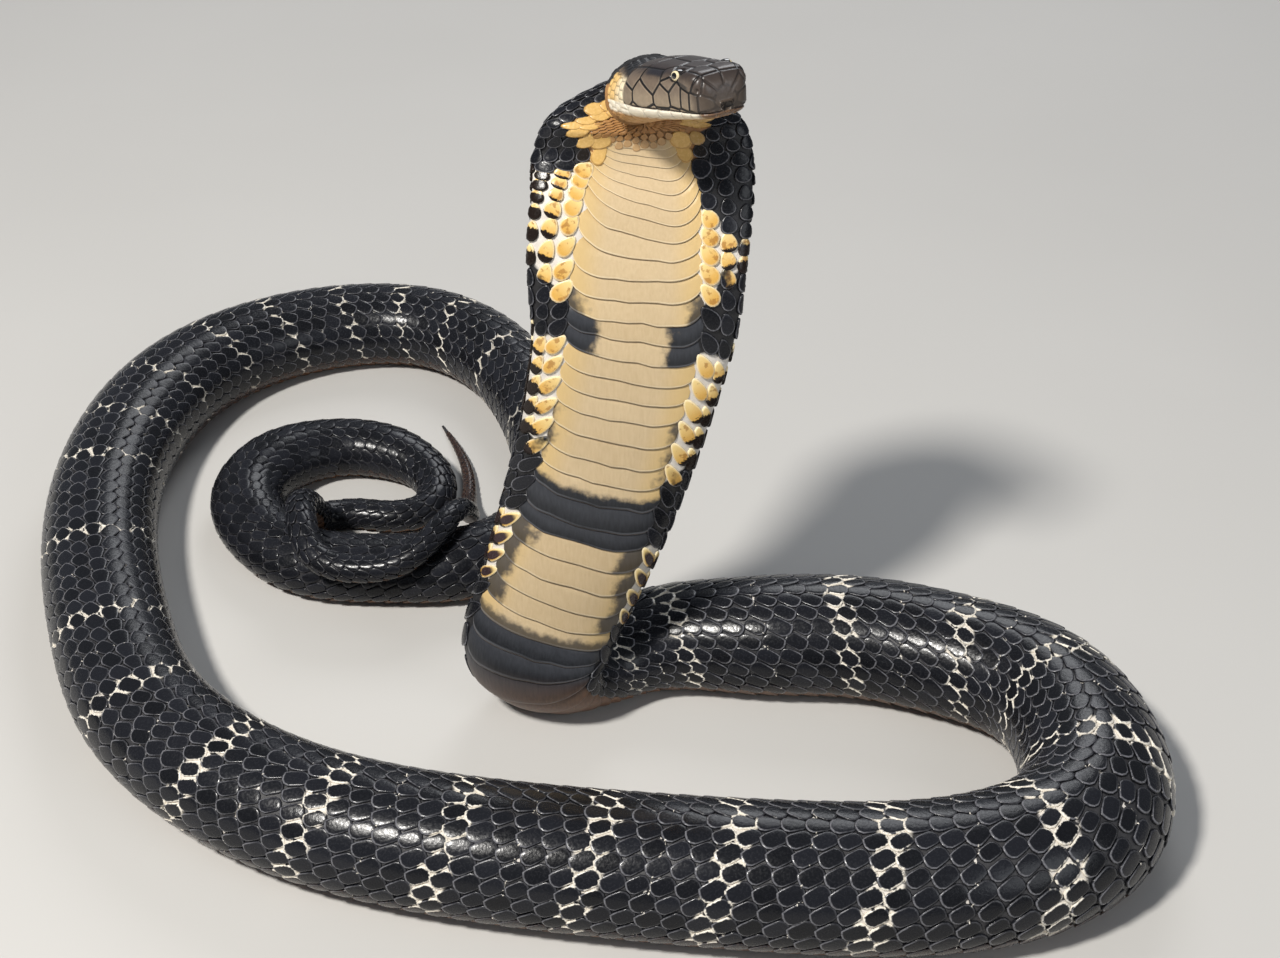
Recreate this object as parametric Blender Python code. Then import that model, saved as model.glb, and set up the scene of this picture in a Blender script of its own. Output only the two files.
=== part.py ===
"""King cobra, life size, raised with its hood spread and its tail coiled beside it.

The snake is one long loft. A route of hand-chosen waypoints gives the line of its spine from the nape to
the tip of the tail, and profiles along that route give each cross-section: a rounded loaf with a flat
belly on the ground, and a wide thin blade, curved forward at its rims, in the hood. The loft is divided
into lengths with a thin gap between them, and the head is a second loft along its own axis.

Frame: metres, +Z up, the floor at z = 0, x to the snake's left as it faces -Y, origin under the middle of
the model's box.
"""

import math

import bmesh
import bpy
import numpy as np
from mathutils import Matrix, Vector

MM = 0.001
GAP = 0.3 * MM

# The route of the spine, from the nape to the tip of the tail: x, y and the height of the spine above its
# resting height, in mm.
NECK_ROUTE = (
    (53, -86, 316),
    (45, -72, 312),
    (41.5, -61, 301),
    (42.5, -58, 285),
    (43, -66, 262),
    (41, -76, 239),
    (40, -84, 212),
    (35, -88, 180),
    (27, -89, 143),
    (17, -91, 106),
    (6, -94, 71),
    (-6, -98, 38),
    (-10, -102, 17),
    (-1, -94, 3),
    (24, -78, 0),
)
BODY_ROUTE = (
    (58, -68, 0),
    (98, -70, 0),
    (149, -72, 0),
    (197, -86, 0),
    (237, -111, 0),
    (255, -158, 0),
    (243, -209, 0),
    (196, -236, 0),
    (130, -241, 0),
    (50, -234, 0),
    (-30, -222, 0),
    (-104, -201, 0),
    (-159, -169, 0),
    (-201, -125, 0),
    (-229, -66, 0),
    (-250, 2, 0),
    (-259, 72, 0),
    (-252, 136, 0),
    (-228, 190, 0),
    (-190, 226, 0),
    (-142, 245, 0),
    (-92, 243, 0),
    (-50, 211, 0),
    (-22, 155, 0),
    (-8, 90, 0),
    (-15, 32, 0),
    (-46, 4, 0),
    (-94, -1, 0),
    (-135, 4, 0),
    (-167, 30, 0),
    (-181, 66, 0),
    (-167, 100, 0),
    (-132, 117, 0),
    (-98, 110, 0),
    (-77, 88, 0),
)
TAIL_ROUTE = (
    (-79, 64, 0),
    (-99, 57, 0),
    (-124, 60, 0),
    (-138, 54, 3),
    (-141, 41, 18),
    (-142, 24, 33.5),
    (-139, 2, 36.5),
    (-129, -17, 28.5),
    (-106, -24, 26),
    (-82, -21, 30),
    (-66, -6, 38),
    (-56, 20, 35),
    (-53, 44, 14),
    (-56, 68, 3),
    (-58, 98, 0),
    (-66, 130, 0),
    (-80, 163, 0),
)

# Half widths and half heights along the route: distance from its start, then mm.
HALF_WIDTH = (
    (0, 18), (20, 19), (27, 29), (34, 39.5), (44, 46), (56, 48.8), (72, 49.4), (92, 49.2), (115, 48), (150, 44.5),
    (190, 42.5), (230, 41), (265, 39), (295, 37.5), (330, 36), (360, 32), (390, 28.5), (420, 29.5), (470, 32.5), (560, 33),
    (620, 34), (700, 36), (800, 35), (950, 33.5), (1100, 32), (1300, 30.5), (1450, 30.5), (1580, 28.5),
    (1700, 26.5), (1830, 23), (1960, 21.5), (2080, 20.5), (2160, 20.5), (2200, 18.5), (2235, 16.8),
    (2262, 13.6), (2285, 11.5), (2315, 9.6), (2345, 9), (2420, 8.2), (2480, 7.8), (2540, 6.4),
    (2612, 4.8), (2665, 3), (2708, 1),
)
HALF_HEIGHT = (
    (0, 14), (18, 14), (36, 13.5), (60, 13.5), (85, 15), (150, 16), (230, 19), (290, 21), (330, 21), (360, 22),
    (385, 23.5), (420, 27), (470, 30), (560, 30.5), (620, 31.5), (700, 33.5), (800, 32.5), (950, 31), (1100, 29.5),
    (1300, 28.5), (1450, 28.5), (1580, 26.5), (1700, 24.5), (1830, 21.5), (1950, 19.8), (2010, 17.6),
    (2080, 17.4), (2160, 18.8), (2200, 17), (2235, 15.6), (2262, 12.6), (2285, 10.7), (2315, 9), (2345, 8.4), (2420, 7.7),
    (2480, 7.3), (2540, 6), (2612, 4.5), (2665, 2.8), (2708, 1),
)
REST_SHARE = 0.85  # of the half height, from the spine down to the flat of the belly

# How far the hood's rims curve forward, how thin they run out and how wide its plates are, along the route
RIM_FORWARD = ((0, 0), (30, 3), (62, 8), (120, 9), (190, 7), (260, 4), (330, 0))
RIM_THINNING = ((0, 1), (46, 1.15), (85, 1.3), (190, 1.2), (290, 1), (330, 1))
PLATE_SHARE = ((0, 0.45), (46, 0.5), (110, 0.56), (170, 0.68), (230, 0.8), (300, 0.82), (400, 0.8))

# Directions of the belly along the route
BELLY = (
    (0, (0.12, -0.16, -0.98)),
    (18, (0.12, -0.45, -0.85)),
    (50, (0.03, -0.97, -0.2)),
    (80, (0, -1, 0)),
    (200, (-0.03, -1, 0)),
    (270, (-0.1, -1, -0.1)),
    (315, (-0.25, -0.95, -0.2)),
    (340, (-0.3, -0.8, -0.5)),
    (362, (-0.2, -0.4, -0.9)),
    (385, (0, 0, -1)),
    (2712, (0, 0, -1)),
)

RING = 18  # points round a cross-section of the ground body
HOOD_RING = 28
TAIL_RING = 12
GROUND_STEP = 19 * MM
TAIL_STEP = 9.5 * MM
NECK_START = 21 * MM
THROAT_PLACES = tuple(place * MM for place in (30, 36, 42, 48, 52))
SCUTE_START = 56 * MM
SCUTE_PITCH = (  # length of a belly plate, along the route
    (0, 6), (60, 6), (84, 7), (98, 8.8), (132, 9), (150, 10.5), (200, 11.6), (300, 11.6), (345, 10), (400, 10),
)
SCUTE_RISE = 0.9 * MM  # how far a plate's free edge stands over the next plate
SCUTE_BOW = 5 * MM  # how far the middle of a plate hangs below its ends

RAISED = ("hood", "neck")  # how the names of the lengths with belly plates begin

# Lengths of the body: name and where it ends along the route, in mm
LENGTHS = (
    ("hood_top", 96), ("hood_middle", 168), ("hood_bottom", 240), ("neck", 300), ("neck_base", 385),
    ("body_01", 520), ("body_02", 610), ("body_03", 700), ("body_04", 830), ("body_05", 960),
    ("body_06", 1090), ("body_07", 1220), ("body_08", 1350), ("body_09", 1480), ("body_10", 1610),
    ("body_11", 1740), ("body_12", 1860), ("body_13", 1960), ("body_14", 2030), ("body_15", 2100),
    ("body_16", 2170), ("tail_01", 2240), ("tail_02", 2290), ("tail_03", 2350), ("tail_04", 2420),
    ("tail_05", 2490), ("tail_06", 2570), ("tail_07", 2712),
)

# The head: where its lip meets in front, and the way it looks
HEAD_TIP = Vector((77 * MM, -127 * MM, 341.2 * MM))
HEAD_YAW = math.radians(60)  # from +X towards -Y
HEAD_PITCH = math.radians(14)
HEAD_ROLL = math.radians(0.5)
HEAD_LENGTH = 66 * MM
EYE_BACK, EYE_UP, EYE_RADIUS = 17 * MM, 14.2 * MM, 3 * MM
EYE_SUNK = 2.2 * MM  # how far its centre lies inside the side of the head

# Half width, height over the mouth line and depth under it: distance back from the snout, then mm
HEAD_WIDTH = (
    (0, 2), (0.5, 8), (1.4, 10.6), (3, 12.3), (7, 13.9), (12, 14.8), (19, 15.5), (28, 17), (38, 19.2),
    (48, 20), (57, 19.4), (66, 19),
)
HEAD_TOP = (
    (0, 2), (0.5, 9.4), (1.4, 12.6), (3, 15), (7, 16.4), (12, 16.6), (19, 16.4), (28, 16.6), (38, 16.6),
    (48, 15.8), (57, 14.6), (66, 13.6),
)
HEAD_DEPTH = (
    (0, 0.6), (0.5, 1.2), (1.4, 2), (3, 2.8), (7, 3.8), (12, 4.6), (19, 5.4), (28, 6.4), (38, 7.8),
    (48, 9.8), (57, 12), (66, 13),
)
JAW_INSET = ((0, 0.6), (1.4, 1), (7, 0.8), (19, 0.4), (38, 0), (66, 0))
SNOUT_LEAN = ((0, 1.5), (12, 1.3), (26, 0))  # how much narrower the head is at the lips than at its widest
HEAD_SQUARE = ((0, 0.38), (7, 0.34), (19, 0.42), (32, 0.6), (48, 0.78), (66, 0.95))  # 1 is round, less is squarer
HEAD_STATIONS = (0.3, 0.8, 1.5, 2.4, 3.4) + tuple(4.6 + 1.4 * k for k in range(34)) + (53.6, 57.4, 61.6, 66)
MOUTH_CORNER = 47 * MM
MOUTH_GROOVE = 0.9 * MM
LIP_BULGE = 0.25 * MM
LIP_HEIGHT = 0.7 * MM
CROWN_POINTS, CHIN_POINTS = 44, 16
NOSTRIL_BACK, NOSTRIL_UP, NOSTRIL_SIZE = 2.6 * MM, 9.4 * MM, 1.1 * MM

# Head shields: the middle of each as distance back, to the right and up in mm, and a bonus that widens it.
# Each shield is the part of the head that is nearest to its middle.
MIDDLE_SHIELDS = ((0, 0, 5.4, 4), (18.5, 0, 16.6, 0), (0.8, 0, -1.6, 0))
PAIRED_SHIELDS = (
    (1.4, 4.3, 12.8, 0), (8.2, 4.9, 16.4, 8), (17.6, 9.6, 16.2, 0), (32.5, 6.6, 16.6, 30), (46, 5.6, 15.8, 20),
    (0.8, 7.8, 9.6, 0), (3, 11.6, 11, 0), (7.4, 12.8, 13.2, 6), (22.4, 13.2, 14.4, 0), (20.8, 15, 11.4, 0),
    (32, 15.6, 12.2, 26), (46, 16.4, 11.6, 14), (56, 12, 13, 0), (56, 18.6, 6, 0),
    (1.8, 9.8, 4.8, 0), (5.2, 12.4, 5, 0), (9.8, 13.4, 5.6, 0), (15.8, 14.6, 6.2, 2), (24, 16, 5.8, 6),
    (36, 18.4, 5.4, 20), (48.5, 19.2, 5, 6),
    (3, 7.8, -2.2, 0), (7.4, 9.8, -2.6, 0), (12, 11.6, -2.8, 0), (17.4, 13.6, -3, 0), (24, 15.4, -3.4, 2),
    (32, 17.2, -3.6, 4), (41, 18.6, -4, 4), (7, 3, -4.6, 2), (15, 3.2, -5.6, 4), (25, 4, -7, 8),
    (38, 6, -8.4, 10), (52, 9, -11, 10),
)
SEAM_DEPTH = 0.55 * MM
SEAM_WIDTH = 0.8  # mm
SHIELDS_END = ((0, 1), (49, 1), (55, 0), (66, 0))


def start():
    for obj in list(bpy.data.objects):
        bpy.data.objects.remove(obj, do_unlink=True)
    made = [bpy.data.collections.new(name) for name in ("king_cobra", "cutters")]
    for collection in made:
        bpy.context.scene.collection.children.link(collection)
    return made


def material(name, colour, roughness):
    made = bpy.data.materials.new(name)
    made.use_nodes = True
    shader = made.node_tree.nodes["Principled BSDF"]
    shader.inputs["Base Color"].default_value = (*colour, 1)
    shader.inputs["Roughness"].default_value = roughness
    return made


def spline(points, at):
    """A natural cubic spline through points, read at the shares at (0 to 1) of its chord length."""
    points = np.asarray(points, float)
    knots = np.concatenate([[0], np.cumsum(np.linalg.norm(np.diff(points, axis=0), axis=1))])
    step = np.diff(knots)
    count = len(points)
    matrix, right = np.eye(count), np.zeros_like(points)
    for i in range(1, count - 1):
        matrix[i, i - 1 : i + 2] = step[i - 1], 2 * (step[i - 1] + step[i]), step[i]
        right[i] = 6 * (
            (points[i + 1] - points[i]) / step[i] - (points[i] - points[i - 1]) / step[i - 1]
        )
    bend = np.linalg.solve(matrix, right)
    where = at * knots[-1]
    i = np.clip(np.searchsorted(knots, where, side="right") - 1, 0, count - 2)
    a = ((knots[i + 1] - where) / step[i])[:, None]
    b = 1 - a
    square = (step[i] ** 2)[:, None] / 6
    return a * points[i] + b * points[i + 1] + ((a**3 - a) * bend[i] + (b**3 - b) * bend[i + 1]) * square


def smooth(keys, at):
    """A curve through keys (place, value) with no overshoot, read at the places at, both in mm."""
    places = np.array([key[0] for key in keys], float)
    values = np.array([key[1] for key in keys], float).reshape(len(keys), -1)
    rise = np.diff(values, axis=0) / np.diff(places)[:, None]
    slope = np.zeros_like(values)
    same_way = rise[:-1] * rise[1:] > 0
    mean = 2 * rise[:-1] * rise[1:] / np.where(same_way, rise[:-1] + rise[1:], 1)
    slope[1:-1] = np.where(same_way, mean, 0)
    slope[0], slope[-1] = rise[0], rise[-1]
    at = np.clip(np.atleast_1d(np.asarray(at, float)), places[0], places[-1])
    i = np.clip(np.searchsorted(places, at, side="right") - 1, 0, len(places) - 2)
    width = np.diff(places)[i][:, None]
    t = ((at - places[i]) / np.diff(places)[i])[:, None]
    result = (
        (2 * t**3 - 3 * t**2 + 1) * values[i]
        + (t**3 - 2 * t**2 + t) * width * slope[i]
        + (3 * t**2 - 2 * t**3) * values[i + 1]
        + (t**3 - t**2) * width * slope[i + 1]
    )
    return result[:, 0] if result.shape[1] == 1 else result


def profile(keys, at):
    return smooth(keys, np.asarray(at) / MM) * MM


class Route:
    """The spine as a dense line, with a frame at each place along it."""

    SAMPLES = 6000

    def __init__(self):
        points = np.array(NECK_ROUTE + BODY_ROUTE + TAIL_ROUTE, float) * MM
        line = spline(points, np.linspace(0, 1, self.SAMPLES))
        line[:, 2] = np.maximum(line[:, 2], 0)
        self.line = line
        for _ in range(3):
            rest = REST_SHARE * profile(HALF_HEIGHT, self.lengths(self.line))
            self.line = line + rest[:, None] * (0, 0, 1)
        self.along = self.lengths(self.line)
        self.total = self.along[-1]
        self.forward = np.gradient(self.line, self.along, axis=0)
        self.forward /= np.linalg.norm(self.forward, axis=1)[:, None]

    @staticmethod
    def lengths(line):
        return np.concatenate([[0], np.cumsum(np.linalg.norm(np.diff(line, axis=0), axis=1))])

    def at(self, places):
        """Spine points, tangents towards the tail, belly directions and left directions."""
        places = np.atleast_1d(places)
        centre = np.stack([np.interp(places, self.along, self.line[:, k]) for k in range(3)], 1)
        tangent = np.stack([np.interp(places, self.along, self.forward[:, k]) for k in range(3)], 1)
        tangent /= np.linalg.norm(tangent, axis=1)[:, None]
        belly = smooth(BELLY, places / MM)
        belly -= (belly * tangent).sum(1)[:, None] * tangent
        belly /= np.linalg.norm(belly, axis=1)[:, None]
        left = np.cross(tangent, belly)
        return centre, tangent, belly, left


def signed_power(value, power):
    return np.sign(value) * np.abs(value) ** power


def ring_points(route, places, count, plates):
    """Rings of points round the spine, one for each place along it."""
    centre, tangent, belly, left = route.at(places)
    half_width = profile(HALF_WIDTH, places)
    half_height = profile(HALF_HEIGHT, places)
    forward = profile(RIM_FORWARD, places)
    thinning = smooth(RIM_THINNING, places / MM)
    share = smooth(PLATE_SHARE, places / MM)
    angle = 2 * math.pi * np.arange(count) / count
    across = np.cos(angle)[None, :]
    up = signed_power(np.sin(angle)[None, :], thinning[:, None])
    sideways = half_width[:, None] * across
    towards_belly = -half_height[:, None] * up + forward[:, None] * across**2
    back = np.zeros_like(sideways)
    if plates:
        inside = np.clip(1 - (across / share[:, None]) ** 2, 0, 1) * (np.sin(angle) < 0)
        rise = np.array([p[1] for p in plates])[:, None] * SCUTE_RISE
        towards_belly = towards_belly + rise * np.clip(4 * inside, 0, 1)
        bow = np.array([p[2] for p in plates])[:, None]
        back = bow * SCUTE_BOW * inside
    points = (
        centre[:, None]
        + sideways[..., None] * left[:, None]
        + towards_belly[..., None] * belly[:, None]
        + back[..., None] * tangent[:, None]
    )
    points[..., 2] = np.maximum(points[..., 2], 0)
    return points


def loft(name, rings, collection, finish):
    """A closed mesh object through rings of points."""
    bm = bmesh.new()
    rows = [[bm.verts.new(p) for p in ring] for ring in rings]
    for a, b in zip(rows[:-1], rows[1:]):
        for i in range(len(a)):
            j = (i + 1) % len(a)
            bm.faces.new((a[i], a[j], b[j], b[i]))
    bm.faces.new(list(reversed(rows[0])))
    bm.faces.new(rows[-1])
    bmesh.ops.triangulate(bm, faces=bm.faces[:], quad_method="SHORT_EDGE", ngon_method="BEAUTY")
    bmesh.ops.recalc_face_normals(bm, faces=bm.faces[:])
    mesh = bpy.data.meshes.new(name)
    bm.to_mesh(mesh)
    bm.free()
    mesh.shade_smooth()
    mesh.materials.append(finish)
    obj = bpy.data.objects.new(name, mesh)
    collection.objects.link(obj)
    return obj


def raised_places(start_at, end_at):
    """Places along a raised length, with each belly plate's free edge as a step: place, rise and bow."""
    places = [(start_at, 0.5, 1.0)]
    places += [(throat, 0.5, 1.0) for throat in THROAT_PLACES if throat > start_at]
    edge = SCUTE_START
    while edge < end_at - 2 * MM:
        if edge > start_at + 2 * MM:
            places += [(edge - 0.4 * MM, 1.0, 1.0), (edge + 0.4 * MM, 0.0, 1.0)]
        edge += float(profile(SCUTE_PITCH, edge)[0])
    places.append((end_at, 0.5, 1.0))
    return places


def ground_places(start_at, end_at, step):
    count = max(2, round((end_at - start_at) / step) + 1)
    return np.linspace(start_at, end_at, count)


def behind_head(rings):
    """Holds the first length back from the plane where the head begins."""
    forward = np.array(head_axes()[0])
    base = np.array(head_point(HEAD_LENGTH + GAP, 0, 0))
    ahead = (rings - base) @ forward
    ahead[1:] = np.maximum(ahead[1:], 0)
    ahead[2:] = 0
    return rings - ahead[..., None] * forward


def make_lengths(route, collection, finishes):
    begin = NECK_START
    for name, end in LENGTHS:
        end = min(end * MM, route.total)
        first, last = begin + GAP / 2, end - GAP / 2
        if name.startswith(RAISED):
            plates = raised_places(first, last)
            fade = smooth(((0, 1), (300, 1), (370, 0), (400, 0)), [p[0] / MM for p in plates])
            plates = [(p[0], p[1] * f, p[2] * f) for p, f in zip(plates, fade)]
            places = np.array([p[0] for p in plates])
            rings = ring_points(route, places, HOOD_RING, plates)
            if name == "hood_top":
                rings = behind_head(rings)
            finish = finishes["belly"]
        elif name.startswith("body"):
            places = ground_places(first, last, GROUND_STEP)
            rings = ring_points(route, places, RING, None)
            finish = finishes["back"]
        else:
            places = ground_places(first, last, TAIL_STEP)
            rings = ring_points(route, places, TAIL_RING, None)
            finish = finishes["back"]
        loft(name, rings, collection, finish)
        begin = end


def head_axes():
    forward = Vector((
        math.cos(HEAD_YAW) * math.cos(HEAD_PITCH),
        -math.sin(HEAD_YAW) * math.cos(HEAD_PITCH),
        math.sin(HEAD_PITCH),
    ))
    level_right = Vector((-math.sin(HEAD_YAW), -math.cos(HEAD_YAW), 0))
    level_up = level_right.cross(forward)
    right = level_right * math.cos(HEAD_ROLL) + level_up * math.sin(HEAD_ROLL)
    return forward, right, right.cross(forward)


def head_point(back, right, up):
    forward_axis, right_axis, up_axis = head_axes()
    return HEAD_TIP - forward_axis * float(back) + right_axis * float(right) + up_axis * float(up)


def head_ring(back):
    """One cross-section of the head, as (right, up) pairs from the right lip over the crown."""
    width = float(profile(HEAD_WIDTH, back)[0])
    top = float(profile(HEAD_TOP, back)[0])
    depth = float(profile(HEAD_DEPTH, back)[0])
    square = float(smooth(HEAD_SQUARE, back / MM)[0])
    mouth = 1 / (1 + math.exp((back - MOUTH_CORNER) / (1.2 * MM)))
    groove = MOUTH_GROOVE * mouth * min(1, back / (2 * MM) + 0.3)
    lip = LIP_BULGE * mouth
    lean = float(profile(SNOUT_LEAN, back)[0])
    chin = width - lean - 2 * lip - float(profile(JAW_INSET, back)[0])
    points = []
    for k in range(CROWN_POINTS + 1):
        angle = math.pi * (0.03 + 0.94 * k / CROWN_POINTS)
        rise = signed_power(math.sin(angle), square)
        points.append(((width - lean * (1 - rise)) * signed_power(math.cos(angle), square), top * rise))
    width -= lean
    points += [(-width - lip, LIP_HEIGHT), (groove - width, 0)]
    for k in range(CHIN_POINTS + 1):
        angle = math.pi * (1.04 + 0.92 * k / CHIN_POINTS)
        points.append((
            chin * signed_power(math.cos(angle), 0.75),
            depth * signed_power(math.sin(angle), 0.9),
        ))
    return points + [(width - groove, 0), (width + lip, LIP_HEIGHT)]


def head_side(back, up):
    """How far the side of the head is from its middle, at a height over the mouth line."""
    square = 2 / float(smooth(HEAD_SQUARE, back / MM)[0])
    rise = up / float(profile(HEAD_TOP, back)[0])
    width = float(profile(HEAD_WIDTH, back)[0]) - float(profile(SNOUT_LEAN, back)[0]) * (1 - rise)
    return width * (1 - rise**square) ** (1 / square)


def seam_distance(places):
    """Distance in mm from each place of the head (back, right, up in mm) to the nearest seam of its shields."""
    seeds = list(MIDDLE_SHIELDS)
    for back, right, up, bonus in PAIRED_SHIELDS:
        seeds += [(back, right, up, bonus), (back, -right, up, bonus)]
    seeds = np.array(seeds, float)
    power = ((places[:, None] - seeds[None, :, :3]) ** 2).sum(axis=2) - seeds[:, 3]
    order = np.argsort(power, axis=1)[:, :2]
    first, second = (np.take_along_axis(power, order[:, k : k + 1], 1)[:, 0] for k in (0, 1))
    apart = np.linalg.norm(seeds[order[:, 0], :3] - seeds[order[:, 1], :3], axis=1)
    return (second - first) / (2 * np.maximum(apart, 1))


def shielded_head():
    """The head's rings, let in along the seams between its shields."""
    sections = np.array([head_ring(back * MM) for back in HEAD_STATIONS])
    backs = np.repeat(np.array(HEAD_STATIONS)[:, None], sections.shape[1], axis=1)
    places = np.concatenate([backs[..., None], sections / MM], axis=2)
    distance = seam_distance(places.reshape(-1, 3)).reshape(backs.shape)
    depth = SEAM_DEPTH * np.exp(-((distance / SEAM_WIDTH) ** 2)) * smooth(SHIELDS_END, backs.ravel()).reshape(backs.shape)
    depth *= np.clip(backs / 2, 0.2, 1)
    round_step = np.roll(sections, -1, axis=1) - np.roll(sections, 1, axis=1)
    inward = np.stack([-round_step[..., 1], round_step[..., 0]], axis=2)
    inward /= np.linalg.norm(inward, axis=2)[..., None]
    sections = sections + inward * depth[..., None]
    return [
        [head_point(back * MM, right, up) for right, up in section]
        for back, section in zip(HEAD_STATIONS, sections)
    ]


def ball(name, centre, radius, collection, finish, squash=1.0, axis=None):
    """A smooth ball, flattened along an axis."""
    bm = bmesh.new()
    bmesh.ops.create_uvsphere(bm, u_segments=14, v_segments=9, radius=radius)
    turn = Vector((0, 0, 1)).rotation_difference(axis or Vector((0, 0, 1)))
    for vert in bm.verts:
        vert.co.z *= squash
        vert.co = turn @ vert.co + centre
    mesh = bpy.data.meshes.new(name)
    bm.to_mesh(mesh)
    bm.free()
    mesh.shade_smooth()
    if finish:
        mesh.materials.append(finish)
    obj = bpy.data.objects.new(name, mesh)
    collection.objects.link(obj)
    return obj


def cut(obj, cutter):
    cutter.hide_render = True
    cutter.display_type = "WIRE"
    modifier = obj.modifiers.new(cutter.name, "BOOLEAN")
    modifier.operation = "DIFFERENCE"
    modifier.object = cutter
    modifier.solver = "EXACT"


def make_head(collection, cutters, finishes):
    head = loft("head", shielded_head(), collection, finishes["head"])
    eye_width = head_side(EYE_BACK, EYE_UP) - EYE_SUNK
    nostril_width = head_side(NOSTRIL_BACK, NOSTRIL_UP)
    for side, name in ((1, "right"), (-1, "left")):
        centre = head_point(EYE_BACK, side * eye_width, EYE_UP)
        ball(f"eye_{name}", centre, EYE_RADIUS, collection, finishes["eye"])
        cut(head, ball(f"socket_{name}", centre, EYE_RADIUS + GAP, cutters, None))
        nostril = head_point(NOSTRIL_BACK, side * nostril_width, NOSTRIL_UP)
        cut(head, ball(f"nostril_{name}", nostril, NOSTRIL_SIZE, cutters, None))
    return head


def settle(collection):
    """Moves everything so that the origin is under the middle of the model's box."""
    corners = [obj.matrix_world @ vert.co for obj in collection.objects for vert in obj.data.vertices]
    middle = Vector((0, 0, 0))
    for axis in (0, 1):
        values = [corner[axis] for corner in corners]
        middle[axis] = (min(values) + max(values)) / 2
    for obj in bpy.data.objects:
        obj.data.transform(Matrix.Translation(-middle))


def main():
    collection, cutters = start()
    finishes = {
        "back": material("black_scales", (0.018, 0.019, 0.023), 0.32),
        "belly": material("belly_plates", (0.62, 0.47, 0.26), 0.42),
        "head": material("head_shields", (0.12, 0.085, 0.055), 0.35),
        "eye": material("eye", (0.01, 0.01, 0.01), 0.05),
    }
    make_lengths(Route(), collection, finishes)
    make_head(collection, cutters, finishes)
    settle(collection)


main()
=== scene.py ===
# %% [markdown]
# # A king cobra with its hood spread
#
# The imported model gives the snake's solid lengths. This script dresses them: one smooth skin for the whole
# animal, a coat of separate scales and belly plates over it, shields on the head, and two eyes. The frame is
# loaded first.

# %% The frame
import math
from functools import reduce

import bpy
import numpy as np
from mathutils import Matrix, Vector


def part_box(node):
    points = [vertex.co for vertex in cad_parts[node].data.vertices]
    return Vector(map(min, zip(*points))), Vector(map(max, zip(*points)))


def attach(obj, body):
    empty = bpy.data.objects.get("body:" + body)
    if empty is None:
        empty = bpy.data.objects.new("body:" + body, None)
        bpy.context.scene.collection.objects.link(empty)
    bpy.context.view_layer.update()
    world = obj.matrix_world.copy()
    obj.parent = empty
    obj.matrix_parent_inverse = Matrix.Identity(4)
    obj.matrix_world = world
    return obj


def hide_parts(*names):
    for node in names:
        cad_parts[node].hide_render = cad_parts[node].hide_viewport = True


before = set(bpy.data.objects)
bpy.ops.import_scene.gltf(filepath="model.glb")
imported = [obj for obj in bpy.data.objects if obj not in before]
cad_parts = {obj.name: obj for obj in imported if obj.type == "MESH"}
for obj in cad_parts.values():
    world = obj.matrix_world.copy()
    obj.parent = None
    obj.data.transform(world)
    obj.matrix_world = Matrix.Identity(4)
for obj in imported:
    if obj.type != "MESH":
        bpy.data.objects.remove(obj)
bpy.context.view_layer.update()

MM = 0.001

# %% [markdown]
# The camera's place was fitted to the photo: a little left of the head, 68 cm up, looking down at 35 degrees
# through a lens of medium length, so that the model fills the frame as the animal does.

# %% The camera
scene = bpy.context.scene


def add_object(name, data):
    """Puts a mesh, light or camera into the scene."""
    made = bpy.data.objects.new(name, data)
    scene.collection.objects.link(made)
    return made


camera = add_object("camera", bpy.data.cameras.new("camera"))
camera.location = (0.0417, -0.8613, 0.677)
camera.rotation_euler = (math.radians(55), 0, 0)
camera.data.sensor_width = 36
camera.data.lens = 56.25
camera.data.clip_start = 0.01
scene.camera = camera
print("camera at", tuple(camera.location), "lens", camera.data.lens, "mm")

# %% [markdown]
# The studio is a pale floor, three lights and a faint bluish glow all round. The key light is the smallest, so
# that each scale throws a short shadow on the next. The fill and the back light open up the dark sides.

# %% Lights and floor
LIGHT_AIM = Vector((0, 0, 0.1))


def add_light(name, place, size, power, colour):
    """A round area light that shines at the middle of the snake."""
    light = bpy.data.lights.new(name, "AREA")
    light.shape = "DISK"
    light.size = size
    light.energy = power
    light.color = colour
    made = add_object(name, light)
    made.location = place
    made.rotation_euler = (LIGHT_AIM - Vector(place)).to_track_quat("-Z", "Y").to_euler()


add_light("key_light", (-0.9, -1.1, 2.0), 0.3, 68, (1.0, 0.97, 0.92))
add_light("fill_light", (1.8, -1.6, 1.3), 1.4, 11, (0.92, 0.96, 1.0))
add_light("back_light", (0.4, 1.9, 1.6), 1.2, 16, (0.95, 0.97, 1.0))

world = bpy.data.worlds.new("studio")
world.use_nodes = True
background = world.node_tree.nodes["Background"].inputs
background["Color"].default_value = (0.80, 0.88, 1.0, 1)
background["Strength"].default_value = 0.19
scene.world = world
scene.view_settings.view_transform = "Standard"

FLOOR_HALF = 4.0
floor_mesh = bpy.data.meshes.new("studio_floor")
floor_corners = [(x * FLOOR_HALF, y * FLOOR_HALF, 0) for x, y in ((-1, -1), (1, -1), (1, 1), (-1, 1))]
floor_mesh.from_pydata(floor_corners, [], [(0, 1, 2, 3)])
floor = add_object("studio_floor", floor_mesh)
print("lights:", [light.name for light in bpy.data.lights])

# %% [markdown]
# Every finish below is built from shader nodes. Writing them as sums in Python keeps them readable: a `Wire`
# is the output of a node, and adding or multiplying two wires adds a Math node. Any other node comes from
# `wire.node` or `add_node`, with its settings first and its inputs after.

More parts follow.
